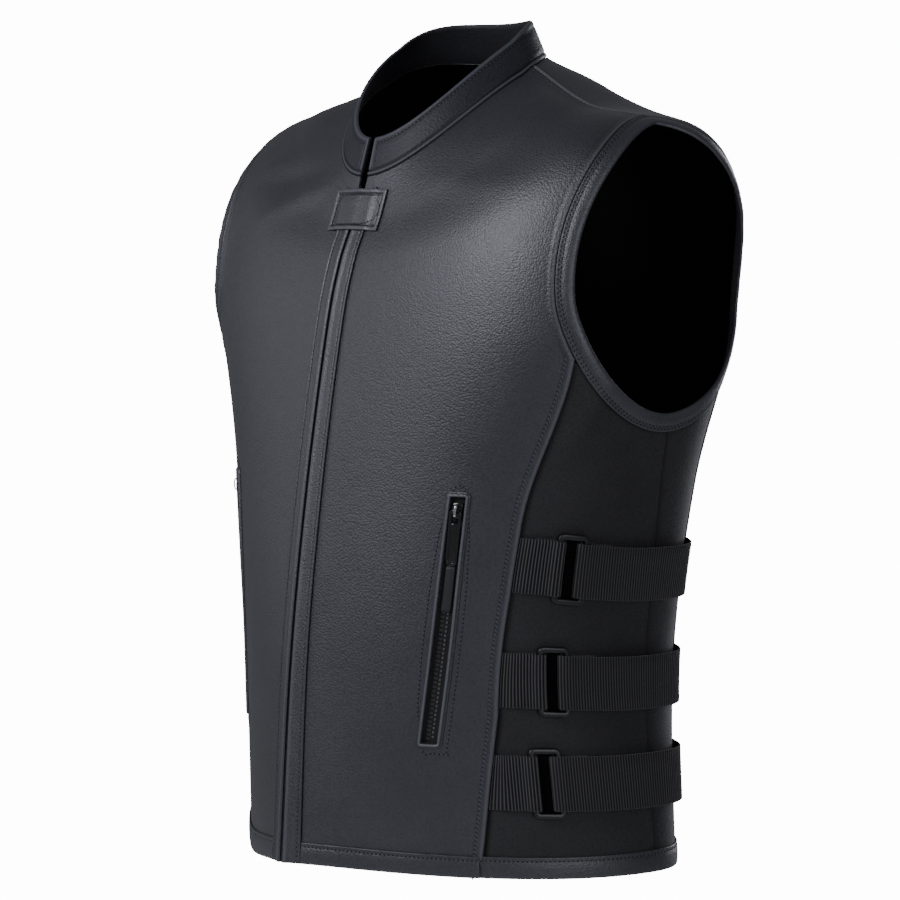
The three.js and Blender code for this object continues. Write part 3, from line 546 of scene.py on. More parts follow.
def webbingMaterial(look):
    shader = {"Specular IOR Level": 0.25, "Sheen Weight": 0.12}
    material, tree, main, place = newMaterial("webbing", shader)
    threads = noise(tree, place, look["threads"], 2.0).outputs["Fac"]
    tone = mixColours(tree, ranged(tree, threads, 0.35, 0.65), look["dark"], look["light"])
    setInputs(tree, main, {
        "Base Color": shaded(tree, tone, look),
        "Roughness": ranged(tree, threads, 0.3, 0.7, *look["roughness"]),
        "Normal": bumped(tree, threads, 0.5, 0.0003),
    })
    return material


def mouldedMaterial(name, colour, roughness, metallic, grain):
    shader = {"Base Color": (*colour, 1), "Metallic": metallic, "Specular IOR Level": 0.5}
    material, tree, main, place = newMaterial(name, shader)
    speckle = noise(tree, place, grain, 3.0).outputs["Fac"]
    setInputs(tree, main, {
        "Roughness": ranged(tree, speckle, 0.3, 0.7, *roughness),
        "Normal": bumped(tree, speckle, 0.2, 0.0002),
    })
    return material


leather = leatherMaterial("pebbled leather", leatherLook)
shadedCollarLeather = leatherMaterial("collar leather with painted shade", collarLook)
sideLeather = leatherMaterial("smooth side leather", sideLook)
mattBlack = leatherMaterial("matt black", mattLook)
webbing = webbingMaterial(webbingLook)
plastic = mouldedMaterial("buckle plastic", (0.0045, 0.0045, 0.0048), (0.3, 0.42), 0.0, 1400.0)
enamel = mouldedMaterial("black enamelled metal", (0.012, 0.012, 0.013), (0.14, 0.24), 0.0, 500.0)
nickel = mouldedMaterial("worn zip metal", (0.5, 0.5, 0.51), (0.22, 0.32), 1.0, 900.0)
tapeCloth = mouldedMaterial("zip tape cloth", (0.006, 0.006, 0.0065), (0.75, 0.9), 0.0, 2600.0)
teethPlastic = mouldedMaterial("zip teeth", (0.02, 0.02, 0.021), (0.3, 0.45), 0.0, 1500.0)
lighterTeeth = mouldedMaterial("worn zip teeth", (0.07, 0.07, 0.072), (0.2, 0.35), 0.0, 1500.0)
holeShade = mouldedMaterial("needle hole shade", (0.001, 0.001, 0.001), (0.8, 0.95), 0.0, 2000.0)
tagCloth = mouldedMaterial("pull tag cloth", (0.011, 0.012, 0.016), (0.5, 0.7), 0.0, 2200.0)
thread = mouldedMaterial("waxed thread", (0.05, 0.052, 0.075), (0.35, 0.5), 0.0, 3000.0)
print("materials made")


# Leather panels
panelLook = {
    "edgeColumns": [0, 0.5, 1.1, 1.8, 2.6, 3.6, 4.6, 5.4, 6, 6.6, 7.6, 9.4, 12.5], "middleColumns": 44,
    "seamRise": 0.6, "seamWide": 4.5, "seamFade": 3.5, "stitchLine": 6.0, "shoulderRise": 0.5,
    "shoulderLine": 4.0, "grooveDeep": 0.35, "grooveWide": 1.0, "underlap": 1.4, "edgeRound": 0.5,
}


def acrossGrid(left, right, count):
    near = np.array(panelLook["edgeColumns"])
    length = np.linalg.norm(surfaceAt(left) - surfaceAt(right), axis=-1)[:, None]
    first = near[None] / length
    middle = lerp(first[:, -1:], 1 - first[:, -1:], np.linspace(0, 1, count + 2)[1:-1])
    share = np.concatenate([first, middle, 1 - first[:, ::-1]], 1)
    return lerp(left[:, None], right[:, None], share[..., None])


def seamRelief(distance, rise, line):
    high = rise * (1 - smooth((distance - panelLook["seamWide"]) / panelLook["seamFade"]))
    if line:
        high = high - panelLook["grooveDeep"] * bell(distance - line, panelLook["grooveWide"])
    return high


# Painted shade along the seam and in the stitch groove, and a painted highlight on the raised strip between
# them.
def seamShade(distance, line):
    shade = -0.9 * bell(distance, 0.5)
    if line:
        shade = shade - 0.75 * bell(distance - line, 1.5) + 0.5 * bell(distance - line * 0.28, line / 5)
    return shade


def edgeDistance(points, axis, fromEnd):
    end = np.take(points, [-1 if fromEnd else 0], axis=axis)
    return np.linalg.norm(points - end, axis=-1)


frontGrid = acrossGrid(frontStart, frontEnd, panelLook["middleColumns"])


def makeFront(side):
    places = mirroredPlaces(frontGrid, sides[side])
    points = surfaceAt(places)
    fromSeam, fromShoulder = edgeDistance(points, 1, True), edgeDistance(points, 0, True)
    line, shoulder = panelLook["stitchLine"], panelLook["shoulderLine"]
    high = seamRelief(fromSeam, panelLook["seamRise"], line)
    high = high + seamRelief(fromShoulder, panelLook["shoulderRise"], shoulder)
    # Painted shade and highlight along the side and shoulder seams.
    shade = seamShade(fromSeam, line) + seamShade(fromShoulder, shoulder)
    piece = wallPiece(
        f"front_shell_{side}", lifted(places, high), lifted(places, -form["wall"]), leather, shade,
        replaced=[f"front_{side}"], slot="leather")
    return rounded(piece, panelLook["edgeRound"])


def topGrid(left, right, top):
    rows, columns = len(left) - 1, len(top) - 1
    across = np.linspace(0, 1, columns + 1)[None, :, None]
    rise = (np.linspace(0, 1, rows + 1) ** 2)[:, None, None]
    flat = lerp(top[0], top[-1], across[0])
    return lerp(left[:, None], right[:, None], across) + rise * (top - flat)[None]


def otherSide(places):
    return np.stack([2 * form["centreBack"] - places[..., 0], places[..., 1]], -1)


backSide = joined(backSeamPlaces, armTurns("backTurn", "topTurn", fine["arm"]))
shoulderLine = lerp(backSide[-1], neckShoulder, np.linspace(0, 1, fine["shoulder"] + 1)[:, None])
neckLine = lerp(neckShoulder, otherSide(neckShoulder), np.linspace(0, 1, fine["backNeck"] + 1)[:, None])
backTop = joined(shoulderLine, neckLine, otherSide(shoulderLine)[::-1])
backGrid = topGrid(backSide, otherSide(backSide), backTop)


def makeBack():
    points = surfaceAt(backGrid)
    fromSeam = np.minimum(edgeDistance(points, 1, False), edgeDistance(points, 1, True))
    line = panelLook["stitchLine"]
    high = seamRelief(fromSeam, panelLook["seamRise"], line)
    # Painted shade and highlight along the side seams, and painted shade along the top edge.
    shade = seamShade(fromSeam, line) + seamShade(edgeDistance(points, 0, True), 0)
    piece = wallPiece(
        "back_shell", lifted(backGrid, high), lifted(backGrid, -form["wall"]), leather, shade,
        replaced=["back"], slot="leather")
    return rounded(piece, panelLook["edgeRound"])


def sideGrid(left, right, fromTurn, toTurn):
    top = armholePlaces(np.linspace(fromTurn, toTurn, fine["underArm"] + 1))
    top[0], top[-1] = left[-1], right[-1]
    return topGrid(left, right, top)


sideGrids = {
    "front": sideGrid(frontSeamPlaces, sideSeamPlaces, armhole["frontTurn"], armhole["sideTurn"]),
    "back": sideGrid(sideSeamPlaces, backSeamPlaces, armhole["sideTurn"], 360 + armhole["backTurn"]),
}


def makeSidePanel(part, side):
    grid = sideGrids[part].copy()
    edge, under = (0, -panelLook["underlap"]) if part == "front" else (-1, panelLook["underlap"])
    grid[:, edge] = nudge(grid[:, edge], under)      # runs on under its neighbour
    places = mirroredPlaces(grid, sides[side])
    points = surfaceAt(places)
    fromSeam = np.minimum(edgeDistance(points, 1, False), edgeDistance(points, 1, True))
    outer = lifted(places, -0.5 * bell(fromSeam, 2.4) - form["sideInset"])
    inner = lifted(places, -form["sideInset"] - form["sideWall"])
    node = f"side_{part}_{side}"
    # Painted shade along both seams of the side panel.
    piece = wallPiece(
        f"{node}_shell", outer, inner, sideLeather, -0.9 * bell(fromSeam, 2.0),
        replaced=[node], slot="side_leather")
    return rounded(piece, 0.3, 1)


panels = {}
for side in sides:
    panels[f"front_{side}"] = makeFront(side)
    for part in sideGrids:
        panels[f"side_{part}_{side}"] = makeSidePanel(part, side)
panels["back"] = makeBack()


# Raised shoulder seams: across, out, shade; the shade paints shade in the groove in front of the ridge (-1)
# and a highlight on its top (1)
shoulderSeam = {
    "section": [
        (-2.4, 0.5, -1), (-1.1, 0.6, -1), (-0.8, 1.0, 0.3), (0, 1.35, 1), (0.8, 1.0, 0.7), (1.5, 0.4, 0),
        (1.5, -0.9, 0), (-2.4, -0.9, 0),
    ],
    "stations": 60,
}


def makeShoulderSeam(side):
    share = np.linspace(0.01, 0.985, shoulderSeam["stations"])[:, None]
    at = frameAt(mirroredPlaces(lerp(neckShoulder, backSide[-1], share), sides[side]))
    along = unit(np.gradient(at["point"], axis=0))
    rearward = unit(np.cross(along, at["out"])) * sides[side]
    section = np.array(shoulderSeam["section"])
    loops = swept(at["point"], rearward, at["out"], section)
    shade = np.broadcast_to(section[:, 2], loops.shape[:2])
    loftPiece(f"shoulder_seam_{side}", loops, leather, False, shade, slot="leather")


for side in sides:
    makeShoulderSeam(side)
print("panels made")


# Hem bands and folded front edges
hemLook = {"steps": [0, 0.8, 2.5, 5, 8, 11, 12.4, 13, 13.6, 15, 16], "puff": 0.45, "stitch": 13.0}
edgeLook = {
    "steps": [0, 0.7, 1.6, 2.8, 4.2, 6, 8, 10, 11.4, 12, 12.6, 14, 15], "fold": 0.9, "foldAt": 2.2,
    "rim": 0.35, "rimAt": 13.5, "stitch": 12.0, "topRow": 5.72, "stitchTopRow": 5.7,
}


def hemPlaces(low):
    rows = rowAtHeight(form["sideSeam"], bodyRings[0, 0] + np.array(hemLook["steps"], float))
    return np.stack([np.stack([low[:, 0], np.full(len(low), row)], -1) for row in rows])


def makeHem(name, node, low, base, material, slot):
    places = hemPlaces(low)
    steps = np.array(hemLook["steps"], float)[:, None] + np.zeros(places.shape[:2])
    puff = hemLook["puff"] * np.sin(np.pi * steps / form["hemBand"])
    high = puff - 0.3 * bell(steps - hemLook["stitch"], 0.9)
    base += form["gap"]
    # Painted highlight along the lower fold and painted shade in the stitch groove.
    shade = 0.25 * bell(steps, 1.2) - 0.6 * bell(steps - hemLook["stitch"], 0.8)
    outer, inner = lifted(places, base + form["trimWall"] + high), lifted(places, base)
    return rounded(wallPiece(name, outer, inner, material, shade, replaced=[node], slot=slot), 0.35)


trims = {}
hemStart = float(angleAtWidth(form["frontGap"] + form["frontEdge"], 0))
besideEdge = nudge(np.array([[hemStart, 0]]), form["gap"])[0, 0]
frontHemAngles = np.linspace(besideEdge, frontEnd[0, 0], 52)
for side, sign in sides.items():
    low = np.stack([frontHemAngles * sign, 0 * frontHemAngles], -1)
    node = f"hem_front_{side}"
    trims[node] = makeHem(f"hem_front_band_{side}", node, low, 0, leather, "leather")
    for part, grid in sideGrids.items():
        node = f"hem_side_{part}_{side}"
        low = mirroredPlaces(grid[0], sign)
        trims[node] = makeHem(f"{node}_band", node, low, -form["sideInset"], leather, "side_leather")
trims["hem_back"] = makeHem("hem_back_band", "hem_back", backGrid[0], 0, leather, "leather")


def makeFrontEdge(side):
    rows = edgeRows[edgeRows < edgeLook["topRow"]][:, None]
    steps = np.array(edgeLook["steps"], float)[None] + 0 * rows
    angle = angleAtWidth(parting(rows) + steps, rows)
    places = np.stack([angle * sides[side], np.broadcast_to(rows, angle.shape)], -1)
    high = edgeLook["fold"] * bell(steps - edgeLook["foldAt"], 1.9)
    high = high + edgeLook["rim"] * bell(steps - edgeLook["rimAt"], 1.2)
    high = high - 0.45 * bell(steps - edgeLook["stitch"], 0.8)
    # Painted highlight on the fold and painted shade in the stitch groove.
    shade = 0.5 * bell(steps - edgeLook["foldAt"], 1.0) - 0.9 * bell(steps - edgeLook["stitch"], 0.8)
    outer = lifted(places, form["gap"] + form["trimWall"] + high)
    node = f"front_edge_{side}"
    piece = wallPiece(
        f"{node}_fold", outer, lifted(places, form["gap"]), leather, shade, replaced=[node], slot="leather")
    return rounded(piece, 0.4)


for side in sides:
    trims[f"front_edge_{side}"] = makeFrontEdge(side)
print("hem and front edges made")


# Armhole bindings
bindingLook = {
    "section": [    # across into the opening, out from the surface
        (0.3, -2.2), (0.3, -1.0), (0.35, 0.1), (0.8, 0.75), (1.6, 0.95), (2.6, 0.6), (3.6, 0.95), (4.6, 0.6),
        (5.8, 1.0), (8, 1.25), (10.5, 1.15), (12.6, 0.6), (13.9, -0.2), (14.5, -1.2), (14.1, -2.1),
        (12.6, -2.6), (8, -2.5), (3, -2.4),
    ],
    "stitches": [2.6, 4.6], "turns": 260, "reach": 13,
}


def bindingFrames(side):
    sign, reach = sides[side], bindingLook["reach"]
    turns = np.linspace(0, 360, bindingLook["turns"] + 1)[:-1] + armhole["topTurn"]
    places = mirroredPlaces(armholePlaces(turns), sign)
    at, base = frameAt(places), surfaceAt(places)
    along = unit(np.roll(at["point"], -1, 0) - np.roll(at["point"], 1, 0))
    inward = unit(np.cross(at["out"], along)) * sign
    rise = (creaseHeight(base + inward * reach) - creaseHeight(base))[:, None]
    return at["point"], unit(inward * reach + at["out"] * rise), unit(at["out"] * reach - inward * rise)


def makeBinding(side):
    section = np.array(bindingLook["section"])
    loops = swept(*bindingFrames(side), section)
    across = section[:, 0]
    # Painted shade in the stitch grooves and at the edge beside the panel, and a painted highlight on the
    # fold.
    grooves = sum(bell(across - line, 0.6) for line in bindingLook["stitches"])
    shade = 0.25 * bell(across - 12.5, 2.0) - 0.7 * grooves
    shade = np.where(section[:, 1] > -1.5, shade, 0) - 0.6 * bell(across - 0.3, 0.4)
    node = f"armhole_binding_{side}"
    return loftPiece(
        f"{node}_strip", loops, leather, True, np.broadcast_to(shade, loops.shape[:2]),
        replaced=[node], slot="leather")


for side in sides:
    trims[f"armhole_binding_{side}"] = makeBinding(side)


# Collar
collarForm = {
    "wall": 2.6, "clear": 0.5, "stations": 140, "stitchFromTop": 4.4,
    "endSteps": [0, 0.6, 1.3, 2.2, 3.2, 3.8, 4.4, 5.0, 5.8, 7.5, 10],
    "piping": [      # along the neck seam: up, out, shade (painted shade below 0, painted highlight above 0)
        (0, 0.1, -0.6), (1, 0.75, 0.3), (1.9, 0.95, 0.9), (2.8, 0.6, 0.3), (3.6, -0.05, -1), (4.4, 0, -1)],
    "heights": [5, 7.5, 11, 15, 19, 22.5, 24.2, 25, 25.8, 27.6, 29],     # at its tallest
}


def collarFrames(angle):
    places = np.stack([angle, np.full(len(angle), float(form["neckRow"]))], -1)
    foot = frameAt(places)
    base = foot["point"] + foot["up"] * collarForm["clear"]
    top = ringPoint(collarTop[None] + np.zeros((len(angle), 1)), angle)
    out = unit(np.cross(foot["around"], unit(top - base)))
    return foot, base, top, out


def collarAngles():
    start, end = neckCorner[0], 2 * form["centreBack"]
    around = frameAt(np.array([[start, form["neckRow"]]]))["around"]
    first = start + np.array(collarForm["endSteps"]) / np.linalg.norm(around)
    middle = np.linspace(first[-1], end - first[-1], collarForm["stations"])[1:-1]
    return np.concatenate([first, middle, end - first[::-1]])


def makeCollar():
    angle = collarAngles()
    foot, base, top, out = collarFrames(angle)
    tall = np.linalg.norm(top - base, axis=-1)
    wall, line = collarForm["wall"], collarForm["stitchFromTop"]
    gone = lengthAlong(base)
    fromEnd = np.minimum(gone, gone[-1] - gone)

    def at(share, depth):
        share = np.broadcast_to(share, angle.shape)[:, None]
        return lerp(base, top, share) - out * np.broadcast_to(depth, angle.shape)[:, None]

    loops = [at(up / tall, -high) for up, high, _ in collarForm["piping"]]
    shades = [shade + 0 * tall for *_, shade in collarForm["piping"]]
    heights = collarForm["heights"]
    for height in heights:
        up = lerp(heights[0], tall, (height - heights[0]) / (heights[-1] - heights[0]))
        inner = np.minimum(tall - up, fromEnd)
        high = 0.55 - 0.6 * bell(inner - line, 0.75) - 0.45 * bell(tall - up, 0.8)
        loops.append(at(up / tall, -high))
        # Painted highlight along the rim and painted shade in the stitch groove.
        shades.append(0.8 * bell(inner - 1.3, 1.5) - bell(inner - line, 1.1))
    rim = [at(1.025, 0.8), at(1.025, wall - 0.8), at(1.0, wall)]
    inside = [at(0.9, wall), at(0.6, wall + 0.1), at(0.3, wall), at(0.08, wall)]
    low = [foot["point"] - foot["out"] * form["wall"] + foot["up"] * collarForm["clear"]]
    loops = np.stack(loops + rim + inside + low, 1)
    # Painted shade on the collar's inside and a painted highlight along its top.
    shade = np.full(loops.shape[:2], -0.8)
    shade[:, :len(shades)] = np.stack(shades, 1)
    shade[:, len(shades):len(shades) + 2] = 0.6
    piece = loftPiece("collar_band", loops, shadedCollarLeather, False, shade, replaced=["collar"], slot="leather")
    return rounded(piece, 0.4)


trims["collar"] = makeCollar()
print("bindings and collar made")


# Straps
straps = {
    "upper": {"frontHeight": -353, "sideHeight": -362, "buckleFrom": 28},
    "middle": {"frontHeight": -437, "sideHeight": -443, "buckleFrom": 27},
    "lower": {"frontHeight": -512, "sideHeight": -515, "buckleFrom": 29},
}
strapLook = {
    "width": 40, "clear": 0.7, "wall": 1.5, "fade": 14, "step": 0.35, "proud": 6.4, "edge": 0.5, "loose": 3,
    "ribs": {"front": (2.27, 0.9, 1.0), "rear": (2.1, 0.55, 0.75)},      # pitch, deep, contrast of the painted highlight on the ribs and painted shade between them
}
buckleLook = {"width": 24, "height": 52, "bar": 4.5, "wall": 3, "corner": 5}
strapFlat = -form["sideInset"] + strapLook["clear"] + strapLook["wall"] / 2
buckleLift = strapLook["clear"] + strapLook["wall"] + form["gap"] - form["sideInset"]
strapOver = buckleLift + buckleLook["wall"] + form["gap"] + strapLook["wall"] / 2
barTurn = buckleLook["bar"] / 2 + 1.5 * form["gap"] + strapLook["wall"] / 2
strapEnd = 2 * form["gap"] + 0.3


def strapCourse(strap, sign):
    start = float(seamAngle(frontSeam, strap["frontHeight"]))
    end = float(seamAngle(backSeam, strap["sideHeight"]))

    def heightAt(angle):
        t = smooth((angle - start) / (form["sideSeam"] - start))
        return lerp(strap["frontHeight"], strap["sideHeight"], t)

    def onSide(angle, z, out):
        places = np.stack([angle * sign, rowAtHeight(angle, z)], -1)
        return surfaceAt(places) + frameAt(places)["out"] * np.asarray(out)[..., None]

    angles = np.arange(start, end + 1, 0.5)
    lengths = lengthAlong(onSide(angles, heightAt(angles), 0.0))
    total = float(np.interp(end, angles, lengths))

    def at(length, up, out):
        middleAngle = np.interp(length, lengths, angles)
        middle = heightAt(middleAngle)
        frontSlant = seamAngle(frontSeam, middle + up) - seamAngle(frontSeam, middle)
        backSlant = seamAngle(backSeam, middle + up) - seamAngle(backSeam, middle)
        nearFront = 1 - np.clip(length / strapLook["fade"], 0, 1)
        nearBack = 1 - np.clip((total - length) / strapLook["fade"], 0, 1)
        angle = middleAngle + frontSlant * nearFront + backSlant * nearBack
        return onSide(angle, middle + up, out)

    return at, total


def frontPath(strap):
    bar, flat, over = strap["buckleFrom"] + buckleLook["bar"] / 2, strapFlat, strapOver
    turn, layer = bar + barTurn, flat + strapLook["wall"] + form["gap"]
    return [
        (strapEnd, flat), (4, flat + 0.2), (9, layer + 0.2), (bar - 8, layer + 0.6),
        (bar - 4.5, over - 1.1), (bar - 3, over - 0.15), (bar - 1, over), (bar + 2.5, over),
        (turn, over - 0.9), (turn, flat + 0.9), (bar + 2.5, flat), (bar - 5, flat), (12, flat),
    ]


def rearPath(strap, total):
    bar, flat, over = strap["buckleFrom"] + buckleLook["width"] - buckleLook["bar"] / 2, strapFlat, strapOver
    turn = bar - barTurn - strapLook["loose"]
    proud, span = strapLook["proud"], total - bar
    return [
        (bar + 22, flat), (bar + 5, flat), (bar - 2.5, flat), (turn, flat + 0.9), (turn, over - 0.9),
        (bar - 2.5, over), (bar + 1, over), (bar + 3, over - 0.1), (bar + 6, over - 0.6),
        (bar + 0.2 * span, over - 0.7), (bar + 0.35 * span, over), (bar + 0.5 * span, proud - 0.4),
        (bar + 0.62 * span, proud), (bar + 0.72 * span, proud), (bar + 0.82 * span, proud - 1.6),
        (bar + 0.92 * span, flat + 1.6), (total - 3, flat + 0.2), (total - strapEnd, flat),
    ]


def evenPath(path, step):
    path = np.array(path, float)
    first, last = path[:1], path[-1:]
    for _ in range(2):       # corners cut twice, so that the fold is round
        a, b = path[:-1], path[1:]
        cut = np.stack([lerp(a, b, 0.25), lerp(a, b, 0.75)], 1).reshape(-1, 2)
        path = np.concatenate([first, cut, last])
    gone = lengthAlong(path)
    even = np.arange(0, gone[-1], step)
    return np.stack([np.interp(even, gone, path[:, 0]), np.interp(even, gone, path[:, 1])], -1), even


def besideLine(line):        # across a line of two coordinates, to its left
    run = unit(np.gradient(line, axis=0))
    return np.stack([-run[:, 1], run[:, 0]], -1)


def makeWebbing(name, node, at, path, part):
    pitch, deep, contrast = strapLook["ribs"][part]
    line, gone = evenPath(path, strapLook["step"])
    away = besideLine(line)
    rib = np.cos(2 * np.pi * gone / pitch)
    half, wide, edge = strapLook["wall"] / 2, strapLook["width"] / 2, strapLook["edge"]
    section = [
        (-1, -wide + edge), (-1, 0), (-1, wide - edge), (0, wide), (1, wide - edge), (1, wide / 2), (1, 0),
        (1, -wide / 2), (1, -wide + edge), (0, -wide),
    ]
    loops, shades = [], []
    for across, up in section:
        flat = abs(across) == 1
        reach = across * (half + deep * (rib - 1) / 2) if flat else 0 * rib
        spot = line + away * reach[:, None]
        loops.append(at(spot[:, 0], np.full(len(line), float(up)), spot[:, 1]))
        # Painted highlight on the rib tops and painted shade between them on the faces, and a painted
        # highlight along the strap's edges.
        shades.append(contrast * (rib - 0.15) if flat else 0.35 + 0 * rib)
    loops, shades = np.stack(loops, 1), np.stack(shades, 1)
    return loftPiece(name, loops, webbing, False, shades, replaced=[node], slot="webbing")


def frameLoops(size, section, at, arcSteps, longSteps, shortSteps):
    corner = size["corner"]
    width, height = size["width"] / 2 - corner, size["height"] / 2 - corner
    outline = []
    corners = [(1, 1), (-1, 1), (-1, -1), (1, -1)]
    for k, (sx, sy) in enumerate(corners):
        for i in range(arcSteps + 1):
            turn = math.radians(90 * (k + i / arcSteps))
            outline.append((sx * width, sy * height, math.cos(turn), math.sin(turn)))
        nx, ny = corners[(k + 1) % 4]
        steps = longSteps if nx == sx else shortSteps
        x, y, dx, dy = outline[-1]
        shares = [i / steps for i in range(1, steps)]
        outline += [(lerp(x, nx * width, share), lerp(y, ny * height, share), dx, dy) for share in shares]
    x, y, dx, dy = np.array(outline).T
    return np.stack([at(x + dx * reach, y + dy * reach, out + 0 * x) for reach, out in section], 1)


def roundedLoops(at, stations, edge):
    loops = []
    for along, half, low, high in stations:
        soft = min(edge, half * 0.8, (high - low) * 0.45)
        corner = [(0, soft), (0.3 * soft, 0.3 * soft), (soft, 0)]
        ring = [(-half + a, low + b) for a, b in corner] + [(half - a, low + b) for a, b in corner[::-1]]
        ring += [(half - a, high - b) for a, b in corner] + [(-half + a, high - b) for a, b in corner[::-1]]
        across, out = np.array(ring).T
        loops.append(at(across, along, out))
    return np.stack(loops)


def makeBuckle(name, node, strap, onStrap):
    middle = strap["buckleFrom"] + buckleLook["width"] / 2
    corner, bar = buckleLook["corner"], buckleLook["bar"]
    low, high = buckleLift, buckleLift + buckleLook["wall"]
    section = [
        (corner - bar, low + 0.4), (corner - bar + 0.4, low), (corner - 0.5, low), (corner, low + 0.5),
        (corner, high - 1.0), (corner - 0.35, high - 0.35), (corner - 1.1, high), (corner - bar + 1.1, high),
        (corner - bar + 0.35, high - 0.35), (corner - bar, high - 1.0),
    ]

    def at(across, up, out):
        return onStrap(middle + across, up, out)

    loops = frameLoops(buckleLook, section, at, 7, 6, 3)
    loftPiece(name, loops, plastic, True, replaced=[node], slot="buckle_plastic")
    # A near-black centre bar, low between the slots, paints the shade between the two folds of the strap.
    reach = buckleLook["height"] / 2 - bar
    stations = [(up, 4.6, low, low + 1.3) for up in np.linspace(-reach, reach, 12)]
    bridge = roundedLoops(at, stations, 0.4)
    loftPiece(name.replace("frame", "bridge"), bridge, mattBlack, slot="buckle_plastic")


strapPieces = {}
for side, sign in sides.items():
    for name, strap in straps.items():
        at, total = strapCourse(strap, sign)
        for part, path in (("front", frontPath(strap)), ("rear", rearPath(strap, total))):
            strapPieces[f"{name}_{part}_{side}"] = makeWebbing(
                f"{name}_webbing_{part}_{side}", f"{name}_strap_{part}_{side}", at, path, part)
        makeBuckle(f"{name}_buckle_frame_{side}", f"{name}_buckle_{side}", strap, at)
print("straps made")


# Neck tab over the top of the centre front
tab = {
    "from": -29, "to": 31, "top": -84.5, "bottom": -115.5, "groove": 4.0, "rim": 0.45, "grooveDeep": 0.55,
    "overFolds": 0.9, "footFrom": 17.5, "near": [0, 0.4, 1.0, 1.8, 2.7, 3.4, 3.7, 4.0, 4.3, 4.7, 5.6],
}


def tabSteps(low, high, count):
    near = np.array(tab["near"])
    middle = np.linspace(low + near[-1], high - near[-1], count + 2)[1:-1]
    return np.concatenate([low + near, middle, high - near[::-1]])


def tabHeight(x):
    flat = 2 * form["gap"] + form["trimWall"] + 0.1
    foot = smooth((np.abs(x) - tab["footFrom"]) / 5)
    return lerp(flat + tab["overFolds"] * bell(x, 8), form["gap"] + 0.15, foot)


def makeTab():
    x, z = np.meshgrid(tabSteps(tab["from"], tab["to"], 26), tabSteps(tab["bottom"], tab["top"], 10))
    places = placesOnFront(x, z)
    inside = np.min([x - tab["from"], tab["to"] - x, z - tab["bottom"], tab["top"] - z], axis=0)
    high = tab["rim"] * bell(inside - 1.8, 1.3) - tab["grooveDeep"] * bell(inside - tab["groove"], 0.5)
    high = high + 0.35 * smooth((inside - 5) / 6)
    base = tabHeight(x)
    # Painted highlight on the rim and painted shade in the stitch groove.
    shade = 0.6 * bell(inside - 1.6, 1.2) - bell(inside - tab["groove"], 0.8)
    outer, inner = lifted(places, base + form["trimWall"] + high), lifted(places, base)
    piece = wallPiece("neck_tab_patch", outer, inner, leather, shade, replaced=["neck_tab"], slot="leather")
    right, left = tab["from"] + tab["groove"], tab["to"] - tab["groove"]
    down, up = tab["bottom"] + tab["groove"], tab["top"] - tab["groove"]
    around = [(right, down), (left, down), (left, up), (right, up), (right, down)]
    x, z = evenPath(around, 1.2)[0].T
    stitchAlong("plain", placesOnFront(x, z), tabHeight(x) + form["trimWall"])
    return rounded(piece, 0.35)


# Stitching and zip teeth: lines of points, each with the direction out of the surface
holeSink = 0.05
rowLooks = {
    "rope_left": {"pitch": 3.2, "size": (4.2, 1.3, 1.1), "slant": 38, "hole": (2.2, 1.3, 0.4)},
    "rope_right": {"pitch": 3.2, "size": (4.2, 1.3, 1.1), "slant": -38, "hole": (2.2, 1.3, 0.4)},
    "plain": {"pitch": 3.3, "size": (2.2, 0.75, 0.6), "slant": 0, "hole": (1.7, 1.1, 0.35)},
}
stitchRows = {style: [] for style in rowLooks}


def addStitches(style, points, outs):
    stitchRows[style].append((points, outs))


def stitchAlong(style, places, out):
    addStitches(style, lifted(places, out), frameAt(places)["out"])


